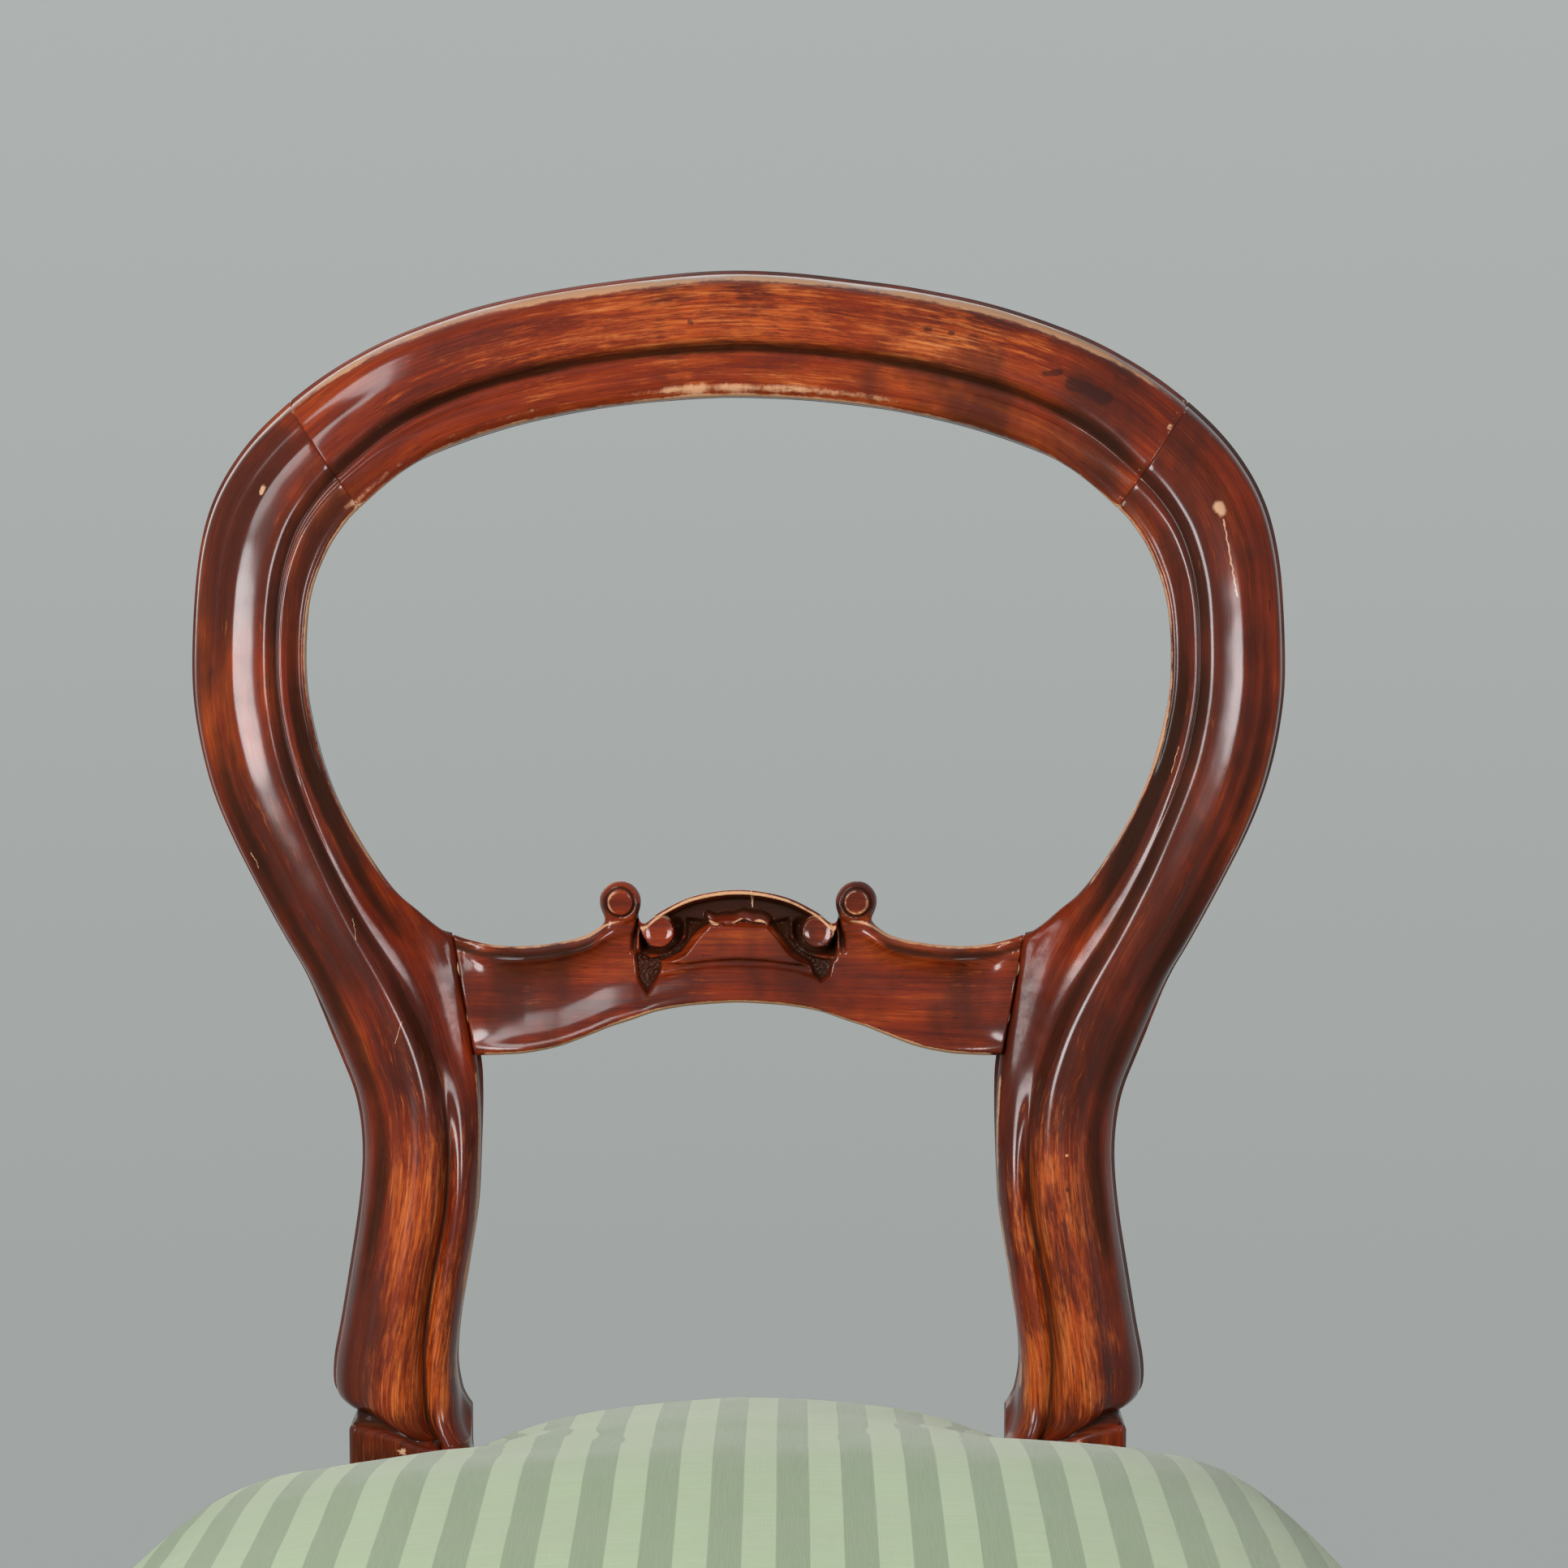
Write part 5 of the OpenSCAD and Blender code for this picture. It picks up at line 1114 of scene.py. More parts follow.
def rail_rims(x, z, under, over, side, knob):
    """Pale worn wood on the rail's edges, the arch and the scrolls, and a painted highlight on the
    tablet's lip.
    """
    free = step(seam_at(z) - side, 1.5, 6)
    scroll = np.hypot(side - INNER_SCROLL[0], z - INNER_SCROLL[1])
    away = step(side, 40, 44)
    top = hill(under, 1.0, 0.9) * (0.75 + 0.2 * hill(side, 54, 6)) * away * free
    low = hill(over, 1.2, 1.0) * 0.9 * free
    arch = hill(under, 1.9, 1.0) * (1 - away) * step(38 - side, 0, 1) * 1.1
    disc = hill(scroll, 5.9, 0.5) * 0.85 * step(z - 629 + (side - 30) * 0.6, -1, 4)
    # The lip's pale strip is where the tablet's top catches the lamps: a painted highlight.
    lip = hill(z, wavy_lip(x, 633.0), 0.8) * step(12.5 - side, 0, 1.5) \
        * (0.65 + 0.25 * np.sin(x * 0.7 + 2))
    face = 0.42 * step(5.2 - knob, 0, 1) + 0.2 * hill(knob, 4.2, 0.8)
    crescent = hill(knob, 4.3, 0.6) * 0.8 * step(x + 46 * np.sign(-x), 1.5, -1.5)
    crown_of_knob = hill(knob, 7.2, 0.5) * 0.5 * step(z, 637, 643)
    return np.maximum.reduce([top, low, arch, disc, lip, face, crescent, crown_of_knob])


def rail_marks(points):
    """Painted shade and pale rims, with the lip's painted highlight, over the rail's front."""
    x, y, z = points.T
    side = np.abs(x)
    upper, lower, _ = rail_lines()
    under, over = smooth_line(upper, x) - z, z - smooth_line(lower, x)
    knob = np.hypot(side - OUTER_SCROLL[0], z - OUTER_SCROLL[1])
    front = facing_front(x, y, z, 10, 3)
    return (rail_painted_shade(x, z, under, side, knob) * front,
            rail_rims(x, z, under, over, side, knob) * front)


write_mark(cross_rail, "age", 0.05)
# The rail's dark mark is painted shade, and its rims carry the lip's painted highlight.
dirt_and_shade, rims = rail_marks(corners(cross_rail))
wear(cross_rail, 0.14, edge=1.5, hollow=1.5, rounds=2, rims=0.4, dirt_and_shade=dirt_and_shade)
write_mark(cross_rail, "edge", rims)
cross_rail.data.materials.append(polish)
print("rubbed share of the rail:", round(float((rims > 0.5).mean()), 3))

# %% [markdown]
# ## The stuffed seat
# On the real chair one striped cloth is pulled over springs and hair and tacked under the rails. It
# has one outline: a bowed front, round corners, curved sides, two notches round the post blocks and
# a tongue between them. Simulated cloth would start from the same outline and end nearly as it
# began, since this cover is pulled tight and has no free fold. So the crown is drawn as heights: it
# falls away towards the edges as an upholsterer stuffs it, rolls over, and runs down to the hem.

# %% The seat's curve
# Share of the block's width, share of the seat's half width, share of its depth from the front
SEAT_ROWS = np.array([
    [1, 0, 1], [0.812, 0.188, 0.984], [0.660, 0.340, 0.946], [0.530, 0.470, 0.888],
    [0.410, 0.590, 0.802], [0.312, 0.688, 0.686], [0.204, 0.796, 0.532], [0.103, 0.897, 0.380],
    [0.030, 0.970, 0.253], [0, 1, 0.165], [0, 0.985, 0.105], [0, 0.930, 0.058],
    [0, 0.800, 0.028], [0, 0.640, 0.015], [0, 0.440, 0.006], [0, 0.220, 0.001], [0, 0, 0]])


def seat_curve(steps):
    """The right half of the seat's outline, from the post round to the middle of the front."""
    rows = np.concatenate([[2 * SEAT_ROWS[0] - SEAT_ROWS[1]], SEAT_ROWS,
                           [SEAT_ROWS[-2] * np.array([-1, -1, 1])]])
    shares = smooth_at(rows, 1 + np.arange((len(SEAT_ROWS) - 1) * steps + 1) / steps)
    return np.stack([shares[:, 0] * (BLOCK_OUT - 1.4) + shares[:, 1] * HALF_SEAT,
                     SEAT_FRONT + shares[:, 2] * SEAT_D], 1)


def mirrored(half):
    """The right half of a flat line, which ends in the middle, and then its mirror image."""
    return np.concatenate([half, half[-2::-1] * np.array([-1, 1])])


print("seat curve:", len(mirrored(seat_curve(4))), "points from post to post")

# %% The cover's outline, with its notches and its tongue
NOTCH_X, NOTCH_Y, TONGUE_Y, SPACING = 101.2, 134.7, 171.2, 2.8


def resample(line, spacing):
    """A line's points again, evenly spaced."""
    along = along_line(line)
    wanted = np.linspace(0, along[-1], max(2, round(along[-1] / spacing)) + 1)
    return np.stack([np.interp(wanted, along, line[:, i]) for i in range(line.shape[1])], 1)


def round_corner(middle, radius, start, end, count=7):
    """Points round a corner, between two angles in degrees."""
    angle = np.radians(np.linspace(start, end, count))
    return np.array(middle) + radius * np.stack([np.cos(angle), np.sin(angle)], 1)


def cover_outline(spacing):
    """Closed outline: places, inward ways and whether the side reaches the hem there."""
    side = seat_curve(24)
    side = side[side[:, 1] < NOTCH_Y - 4]
    rounded = round_corner((BLOCK_OUT - 5.4, NOTCH_Y - 4), 4, 90, 20)
    corner = np.concatenate([rounded, side[:1]])
    notch = np.concatenate([[[BLOCK_OUT - 5.4, NOTCH_Y]], [[NOTCH_X + 4, NOTCH_Y]],
                            round_corner((NOTCH_X + 4, NOTCH_Y + 4), 4, 270, 180)[1:],
                            [[NOTCH_X, TONGUE_Y - 5]]])
    turn = round_corner((NOTCH_X - 4.6, TONGUE_Y - 4.6), 4.6, 0, 90)
    parts = [(resample(np.array([[0, TONGUE_Y], turn[-1]]), spacing * 1.2), 1),
             (resample(turn[::-1], spacing * 0.45), 1),
             (resample(notch[::-1], spacing * 0.6), 0),
             (resample(corner, spacing * 0.4), 1), (resample(side, spacing), 1)]
    line, hems = [parts[0][0][:1]], [np.array([1])]
    for points, hem in parts:
        line.append(points[1:])
        hems.append(np.full(len(points) - 1, hem))
    line, hems = np.concatenate(line), np.concatenate(hems)
    line = np.concatenate([line, line[-2:0:-1] * np.array([-1, 1])])
    hems = np.concatenate([hems, hems[-2:0:-1]])
    way = np.roll(line, -1, axis=0) - np.roll(line, 1, axis=0)
    way /= np.linalg.norm(way, axis=1)[:, None]
    inward = np.stack([way[:, 1], -way[:, 0]], 1)
    return line, inward, hems


outline, inward, hems = cover_outline(SPACING)
print("outline points:", len(outline), "that reach the hem:", int(hems.sum()))

# %% Distances from the free side and from the notches
FREE_SIDE = mirrored(seat_curve(4))


def far_from(points, line):
    """Distance from each of many places to a line of points."""
    best = np.full(len(points), 1e9)
    for a, b in zip(line[:-1], line[1:]):
        along = b - a
        t = np.clip(((points - a) @ along) / (along @ along), 0, 1)
        best = np.minimum(best, np.linalg.norm(points - a - t[:, None] * along, axis=1))
    return best


def rolled(distance, rise, reach):
    """How far a rounded edge falls away at a distance from the edge."""
    near = np.clip(distance / np.maximum(reach, 0.1), 0, 1)
    return rise * (1 - np.sqrt(np.maximum(0, 1 - (1 - near) ** 2)))


def notch_distance(points, squeeze=1.0):
    """Distance to the block notches, from the cloth's side."""
    x, y = np.abs(points[:, 0]), points[:, 1]
    dx = np.maximum(NOTCH_X - x, 0)
    dx = np.where(x > BLOCK_OUT, x - BLOCK_OUT, dx)
    dy = np.maximum(NOTCH_Y - y, 0) * squeeze
    return np.hypot(dx, dy)


print("middle to the side:", far_from(np.zeros((1, 2)), FREE_SIDE).round(1), "mm")

# %% The crown's height
SIDE_Z = 430.0
# The crown from front to back over the middle of the seat, and how it leans and sinks at the left
CROWN_LINE = [[-262, 459], [-256, 460], [-240, 463.5], [-220, 467], [-200, 469.5], [-160, 473],
              [-123, 474.6], [-73, 475.3], [-47, 475.6], [-23, 475.8], [2, 475], [45, 470.5],
              [72, 467.5], [108, 461.5], [154, 453.7], [171, 450], [176, 449]]
LEAN, LEFT_DROP, LEFT_SOFT = 3.0, 3.0, 4.5


def crown(points):
    """Height of the cloth over each place."""
    x, y = points.T
    base = smooth_line(CROWN_LINE, y) - 18 * np.abs(x / HALF_SEAT) ** 2.4
    base = base - 18 * np.exp(-notch_distance(points, 0.45) / 40)
    base = base + 0.6 * hill(x, -70, 60) * hill(y, -40, 80)
    base = base + LEAN * np.clip(x / 160, -1.15, 1) - LEFT_DROP * step(-x, 95, 165)
    side = far_from(points, FREE_SIDE)
    side = side - LEFT_SOFT * step(-x, 60, 140) * np.minimum(side / 14, 1)
    rise = np.maximum(base - SIDE_Z, 2)
    height = base - rolled(side, rise, 1.9 * rise + 8)
    rear = np.maximum(TONGUE_Y - y, 0)
    height = height - np.where(np.abs(x) < 106, rolled(rear, 12, 14), 0)
    near = notch_distance(points)
    turn = np.arctan2(NOTCH_Y - y, NOTCH_X + 6 - np.abs(x))
    pull = 0.8 * np.exp(-near / 22) * np.sin(turn * 9)
    height = height + pull * step(near, 1, 9) - rolled(near, 3, 3)
    return height


def crown_wobble(points):
    """Soft dents of the stuffing."""
    return np.array([0.9 * noise.noise(Vector((p[0] / 75, p[1] / 75, 1.7)))
                     + 0.35 * noise.noise(Vector((p[0] / 24, p[1] / 24, 5.2))) for p in points])


print("crown in the middle:", crown(np.array([[0.0, -40.0]])).round(1))

# %% The cover's rings
EDGE_BAND, CROWN_RINGS, EDGE_RINGS, WALL_RINGS = 46, 34, 15, 13
SEAT_MID = np.array([0.0, SEAT_FRONT + 0.55 * SEAT_D])
HEM_Z, DRAW_IN, COVER_T = 368.0, 3.4, 2.0


def crown_rings():
    """Rings from the crown's middle to the outline, closer together at the edge."""
    reach = np.linalg.norm(outline - SEAT_MID, axis=1)
    edge = EDGE_BAND * (1 - np.cos(np.linspace(math.pi / 2, 0, EDGE_RINGS)))
    inner = 1 - EDGE_BAND / reach
    scales = [inner * share for share in np.linspace(0.03, 1, CROWN_RINGS, endpoint=False)]
    scales += [1 - e / reach for e in edge]
    flat = np.array([SEAT_MID + (outline - SEAT_MID) * scale[:, None] for scale in scales])
    places = flat.reshape(-1, 2)
    calm = step(far_from(places, outline), 2, 26)
    heights = crown(places) + crown_wobble(places) * calm
    return np.concatenate([flat, heights.reshape(*flat.shape[:2], 1)], 2)


def wall_rings(last):
    """Rings down the cover's sides, drawn in towards the hem."""
    walls = []
    low = np.where(hems == 1, HEM_Z, RAIL_TOP + 1.6)
    for k in range(1, WALL_RINGS + 1):
        t = k / WALL_RINGS
        drawn = DRAW_IN * t - 0.6 * math.sin(math.pi * t) * (1 - t)
        inset = np.where(hems == 1, drawn, 0)
        walls.append(np.concatenate([last[:, :2] + inward * inset[:, None],
                                     (last[:, 2] + (low - last[:, 2]) * t)[:, None]], 1))
    return walls


def base_rings(last):
    """Rings round the hem's edge, up behind the cloth and over the seat's flat base."""
    inside = DRAW_IN + COVER_T
    under = []
    for inset, height in ((DRAW_IN + COVER_T * 0.6, HEM_Z - 0.25), (inside, HEM_Z + 0.5),
                          (inside, 390), (inside, RAIL_TOP + 1.2), (inside + 4, RAIL_TOP + 1.4)):
        away = np.where(hems == 1, inset, inset * 0.15)
        level = np.where(hems == 1, height, RAIL_TOP + 1.5)
        under.append(np.concatenate([last[:, :2] + inward * away[:, None], level[:, None]], 1))
    for share in (0.9, 0.6, 0.3, 0.1):
        place = SEAT_MID + (last[:, :2] - SEAT_MID) * share
        under.append(np.concatenate([place, np.full((len(place), 1), RAIL_TOP + 1.5)], 1))
    return under


top = crown_rings()
rings = np.concatenate([top, wall_rings(top[-1]), base_rings(top[-1])])
print("cover rings:", rings.shape, "top:", top[..., 2].max().round(1))


# %% The cloth's own map: how far across and along it each point lies
STRIPE, STRIPE_GAIN = 10.75, 0.25


def cloth_map(rings, last):
    """Adds up, ring by ring, how much cloth a slope takes besides its way in the plan."""
    outward = -inward
    u, v = rings[..., 0].copy(), rings[..., 1].copy()
    extra = np.zeros(rings.shape[1])
    for k in range(1, len(rings)):
        if k < last:
            move = rings[k] - rings[k - 1]
            level = np.maximum((move[:, :2] * outward).sum(1), 0)
            extra = extra + np.hypot(level, move[:, 2]) - level
        u[k] += outward[:, 0] * extra
        v[k] += outward[:, 1] * extra
    place = np.clip((v + 146) / 300, -0.6, 1.1)
    u = (u - 3.95 - 0.45 * place) * STRIPE / (STRIPE + STRIPE_GAIN * place)
    return np.stack([u, v], 2)


def map_cloth(piece, places):
    """Gives a piece a flat map, one place in millimetres for each of its points."""
    loops = np.empty(len(piece.data.loops), np.int32)
    piece.data.loops.foreach_get("vertex_index", loops)
    layer = piece.data.uv_layers["grain"]
    layer.data.foreach_set("uv", (places[loops] * MM).astype(np.float32).ravel())


grain = cloth_map(rings, len(top) + WALL_RINGS)
seat = loft("striped_seat", rings, flip=True)
map_cloth(seat, np.concatenate([grain.reshape(-1, 2), grain[:1].mean(1), grain[-1:].mean(1)]))
seat.data.vertices[-2].co.z = (rings[0][:, 2].mean() + 0.05) * MM
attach(seat, "root")
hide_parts("seat_cover", "seat_stuffing")
print("seat:", len(seat.data.polygons), "faces,", round(signed_volume(seat.data), 2), "litres")

# %% [markdown]
# ## Striped cotton
# The real cover is a sage green cotton with satin stripes, matt and pale between duller deep ones.
# Each stripe could be a strip of its own, but the cloth is one, so its colour is a wave across the
# cloth's own map. Where the cloth bends over the edge, the stripes bend with it. Fine noise that is
# stretched along the threads gives the weave, in colour and as a slight relief.

# %% Striped cotton
def striped_cotton():
    f = Finish("striped_cotton", coat_weight=0.0, sheen_weight=0.25, sheen_roughness=0.45)
    cloth = f.uv()
    u, where = f.part(cloth, 0), f.place()
    drift = (f.grains(cloth, (3, 3, 1), 1, 0.5, 4.0) - 0.5) * 0.0012
    wave = (((u + drift) * (math.pi / (STRIPE * MM))).wave() * 9 + 0.5).clip()
    threads = f.grains(cloth, (2400, 60, 1), 2, 0.5, 1.0)
    picks = f.grains(cloth, (60, 1900, 1), 2, 0.5, 2.0)
    slub = f.grains(cloth, (30, 700, 1), 3, 0.6, 6.0)
    broad = f.grains(where, (9, 9, 9), 3, 0.5, 3.0)
    pale = f.mix(slub, rgb(168, 191, 149), rgb(186, 207, 166))
    deep = f.mix(threads, rgb(130, 155, 117), rgb(151, 173, 134))
    colour = f.mix(wave, deep, pale)
    colour = f.mix((broad - 0.5) * 0.5 + 0.1, colour, rgb(150, 160, 124))
    height = threads * (1 - wave * 0.6) + picks * (0.35 + wave * 0.65)
    return f.show(**{"Base Color": colour, "Roughness": 0.82 - wave * 0.04,
                     "Normal": f.bump(height, 0.00022, 0.8)})


seat.data.materials.append(striped_cotton())
print("seat top:", round(max(v.co.z for v in seat.data.vertices), 4))

# %% [markdown]
# ## Gimp braid
# A flat three-strand plait between two cords hides the cover's tacks along the hem. A bump on a
# band would look flat from the side, so the braid is real yarn. Each strand is a tube that swings
# from side to side, and in and out at double the rate, so that strands pass over and under.

# %% Tubes and joins
def tube(path, across, up, wide, thick, sides=8):
    """Rings of an oval tube along a path, with the two ways that its section spans."""
    angle = 2 * np.pi * np.arange(sides) / sides
    return (path[:, None] + across[:, None] * (wide * np.cos(angle))[None, :, None]
            + up[:, None] * (thick * np.sin(angle))[None, :, None])


def joined(name, parts):
    """One object from several (points, faces, map) parts."""
    points, faces, grain, base = [], [], [], 0
    for p, f, g in parts:
        points.append(p)
        grain.append(g)
        faces += [[base + i for i in face] for face in f]
        base += len(p)
    return make_mesh(name, np.concatenate(points), faces, np.concatenate(grain))


def volume_of(piece): return round(signed_volume(piece.data) * 1000, 2)


print("seat, measured again:", volume_of(seat), "cm3")

# %% The braid
# Its middle's height, how far in it lies, one plait's length and the spacing of the points along it
GIMP_MID, GIMP_IN, PLAIT, YARN_STEP = 374.0, 2.44, 15.0, 1.25
BAND_HALF, BAND_THIN, CORD_AWAY, TWIST = 5.4, 0.36, 5.0, 2.6
SWING, OVER, STRAND_HALF, STRAND_THIN = 3.1, 0.42, 1.45, 0.52


def outward_of(line):
    """Outward way of a flat path whose solid lies to its left."""
    way = np.gradient(line, axis=0)
    way /= np.linalg.norm(way, axis=1)[:, None]
    return np.stack([-way[:, 1], way[:, 0]], 1)


def braid_parts(line):
    """A backing band, two edge cords and three plaited strands along a flat line."""
    line = resample(line, YARN_STEP)
    out, along = outward_of(line), along_line(line)
    out3 = np.concatenate([out, np.zeros((len(out), 1))], 1)
    up3 = np.tile([0.0, 0.0, 1.0], (len(out), 1))

    def at(height, depth):
        flat = line - out * (GIMP_IN - depth)[:, None]
        return np.concatenate([flat, (GIMP_MID + height)[:, None]], 1)

    even = np.ones(len(along))
    band = tube(at(0 * even, 0.42 * even), up3, out3, BAND_HALF, BAND_THIN, 12)
    parts = [solid_part(band)]
    for side in (-CORD_AWAY, CORD_AWAY):
        twist = 0.12 * np.sin(2 * np.pi * along / TWIST)
        path = at(side + twist, 1.15 + 0.1 * np.cos(along * 2.4))
        parts.append(solid_part(tube(path, up3, out3, 0.92, 0.85)))
    for k in range(3):
        phase = 2 * np.pi * (along / PLAIT + k / 3)
        path = at(SWING * np.sin(phase), 1.38 + OVER * np.sin(2 * phase))
        go = np.gradient(path, axis=0)
        go /= np.linalg.norm(go, axis=1)[:, None]
        across = np.cross(go, out3)
        across /= np.linalg.norm(across, axis=1)[:, None]
        strand = tube(path, across, out3, STRAND_HALF, STRAND_THIN)
        parts.append(solid_part(strand, start=40.0 * k))
    return parts


# The braid starts a third of a row from the post, so that it stays clear of the block
front_line = mirrored(seat_curve(24)[8:])
rear_line = np.array([[-94.5, TONGUE_Y], [94.5, TONGUE_Y]])
gimp = joined("gimp_plait", braid_parts(front_line) + braid_parts(rear_line))
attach(gimp, "root")
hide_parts("gimp_braid")
print("gimp:", len(gimp.data.polygons), "faces,", volume_of(gimp), "cm3")

# %% [markdown]
# ## Braid yarn
# The real braid is spun of two threads, and its thin dark lines run askew round each strand. More
# tubes would cost many faces, so the twist is a wave over the strand's own map, in colour and bump.

# %% Braid yarn
def braid_yarn():
    f = Finish("braid_yarn", sheen_weight=0.3, sheen_roughness=0.4, roughness=0.75)
    yarn = f.uv()
    ply = ((f.part(yarn, 0) * 2600 + f.part(yarn, 1) * 2400).wave() * 0.5 + 0.5)
    fuzz = f.grains(f.place(), (900, 900, 900), 3, 0.6, 2.0)
    colour = f.mix(ply * 0.7 + fuzz * 0.3, rgb(122, 142, 108), rgb(170, 188, 150))
    return f.show(**{"Base Color": colour, "Normal": f.bump(ply + fuzz * 0.5, 0.00025, 0.8)})


gimp.data.materials.append(braid_yarn())
print("gimp finish:", gimp.data.materials[0].name)

# %% [markdown]
# ## Front legs
# Each front leg is sawn from one square post: a block at the top takes the rails' dowels, and the
# leg below swings out at the knee and in above a small foot. The section is a rounded square, which
# a power of sine and cosine gives, so no edge needs a bevel. The block is a prism of its own,
# because it follows the seat's corner, and a union makes one piece of the two.

# %% Leg rings
LEG_MID = np.array([HALF_SEAT - 41, SEAT_FRONT + 48])
# Share of the height, share of the knee's swing and size
LEG_ROWS_FRONT = np.array([
    [0, 0.35, 0.58], [0.012, 0.42, 0.62], [0.035, 0.25, 0.60], [0.07, -0.3, 0.50],
    [0.12, -0.8, 0.45], [0.22, -0.95, 0.46], [0.38, -0.6, 0.53], [0.55, 0.1, 0.66],
    [0.72, 0.68, 0.86], [0.84, 0.75, 1], [0.93, 0.45, 0.99], [1, 0.1, 0.88], [1.012, 0, 0.8]])
KNEE_R, KNEE_OUT, SQUARE, LEG_AROUND = 24.0, 10.0, 2.6, 56
RAIL_INSET, RAIL_THICK = 6.2, 24.0


def leg_rings(side):
    """Rounded squares from the foot up to the rails."""
    angle = 2 * np.pi * np.arange(LEG_AROUND) / LEG_AROUND
    c, s = np.cos(angle), np.sin(angle)
    k = (np.abs(c) ** SQUARE + np.abs(s) ** SQUARE) ** (-1 / SQUARE)
    rings = []
    places = np.concatenate([np.linspace(0, 4, 25), np.linspace(4.2, 12, 40)])
    for share, swing, size in smooth_at(LEG_ROWS_FRONT, places):
        x, y = LEG_MID + np.array([1, -1]) * swing * KNEE_OUT / math.sqrt(2)
        z = np.full(LEG_AROUND, max(0.0, share) * RAIL_LOW)
        rings.append(np.stack([x + size * KNEE_R * k * c, y + size * KNEE_R * k * s, z], 1))
    first = rings[0].copy()
    first[:, :2] = first[:, :2].mean(0) + (first[:, :2] - first[:, :2].mean(0)) * 0.93
    rings[0][:, 2] = 1.2
    return np.array([first] + rings) * np.array([side, 1, 1])


print("leg rings:", leg_rings(1).shape)


# %% The block between the rails
def inset_line(line, distance): return line - outward_of(line) * distance


def block_rings(side):
    """The square block between the rails, from the seat line's 28th point to its 36th."""
    line, start, end = seat_curve(3), 28, 36
    outer = inset_line(line, RAIL_INSET)[start:end + 1]
    inner = inset_line(line, RAIL_INSET + RAIL_THICK)
    corner = np.array([inner[end][0], inner[start][1]])
    flat = np.concatenate([outer, [inner[end], corner, inner[start]]])
    flat = resample(np.concatenate([flat, flat[:1]]), 4)[:-1]
    rings = np.array([np.concatenate([flat, np.full((len(flat), 1), z)], 1)
                      for z in np.linspace(RAIL_LOW, RAIL_TOP, 9)])
    return rings * np.array([side, 1, 1])


print("block rings:", block_rings(1).shape)


# %% The two front legs, each joined with its block
def united(piece, other):
    """The union of two closed pieces, as one new mesh."""
    cut = piece.modifiers.new("union", "BOOLEAN")
    cut.operation, cut.solver, cut.object = "UNION", "EXACT", other
    graph = bpy.context.evaluated_depsgraph_get()
    mesh = bpy.data.meshes.new_from_object(piece.evaluated_get(graph))
    piece.modifiers.clear()
    piece.data = mesh
    bpy.data.objects.remove(other)


for name, side, node in (("right_curved_leg", 1, "right_front_leg"),
                         ("left_curved_leg", -1, "left_front_leg")):
    leg = loft(name, leg_rings(side), 300.0 * side, flip=side < 0)
    points = corners(leg)
    uneven = np.stack([wobble(points, 30, 2.0 + side), wobble(points, 30, 9.0)], 1)
    points[:, :2] += uneven * 0.15 * step(points[:, 2:3], 4, 30)
    move_corners(leg, points)
    united(leg, loft("block", block_rings(side), flip=side > 0))
    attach(leg, "root")
    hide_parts(node)
    wear(leg, 0.1)
    leg.data.materials.append(polish)
    print(leg.name, len(leg.data.polygons), "faces,", volume_of(leg), "cm3")

# %% [markdown]
# ## Springs
# Underneath, woven jute webs carry five hourglass springs, and the hessian lies over the springs.
# A spring is a wire on a helix that is wide at both ends and narrow in the middle. A screw modifier
# would keep one radius, so the path is worked out here, with a flat turn at either end.

# %% Hourglass springs
WIRE, WEB_T, WEB_W, SPRING_TURNS = 3.4, 1.6, 44.0, 5
SPRING_LOW = RAIL_LOW + WEB_T + 0.1 + WIRE / 2 + 0.3
SPRING_RISE = RAIL_TOP - 0.3 - WIRE / 2 - SPRING_LOW


def spring_rings(middle):
    """Rings of wire round a spring that stands over a place of the seat."""
    t = np.linspace(0, 1, SPRING_TURNS * 32 + 1)
    turn = 2 * np.pi * SPRING_TURNS * t
    radius = 20 + 13 * np.abs(2 * t - 1) ** 1.5
    lift = 0.45 * t + 0.55 * (t - np.sin(2 * np.pi * t) / (2 * np.pi))
    out = np.stack([np.cos(turn), np.sin(turn), 0 * t], 1)
    path = out * radius[:, None]
    path[:, 2] = SPRING_LOW + SPRING_RISE * lift
    path[:, :2] += middle
    up = np.tile([0.0, 0.0, 1.0], (len(t), 1))
    return tube(path, out, up, WIRE / 2, WIRE / 2, 12)


spring_spots = [(0.42, 0.26), (-0.42, 0.26), (0, 0.47), (0.34, 0.70), (-0.34, 0.70)]
spring_parts = []
for i, (x, y) in enumerate(spring_spots):
    wire = spring_rings([x * HALF_SEAT, SEAT_FRONT + y * SEAT_D])
    spring_parts.append(solid_part(wire, 200.0 * i, flip=True))
springs = joined("hourglass_springs", spring_parts)
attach(springs, "root")
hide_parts("seat_springs")
print("springs:", len(springs.data.polygons), "faces,", volume_of(springs), "cm3")

# %% [markdown]
# ## Webs
# The real webs are strips of woven jute, strained over the rails and tacked. Crossing webs pass
# over and under each other. Flat boards that cut through each other would show from below, so each
# strap is a section with soft edges along a path, and the cross straps' paths rise and fall by
# turns.

# %% The webs' lines and the strap
REAR_TACK_Y, FRONT_TACK_Y = POST_MID, SEAT_FRONT + RAIL_INSET + RAIL_THICK / 2
WEB_REAR, WEB_FRONT = (-0.735, -0.245, 0.245, 0.735), (-1.20, -0.40, 0.40, 1.20)
CROSS_Y = [SEAT_FRONT + s * SEAT_D for s in (0.25, 0.41, 0.57, 0.73)]
WEB_FLOOR, WEB_END, WEB_STEPS = RAIL_LOW - WEB_T, 8, 90


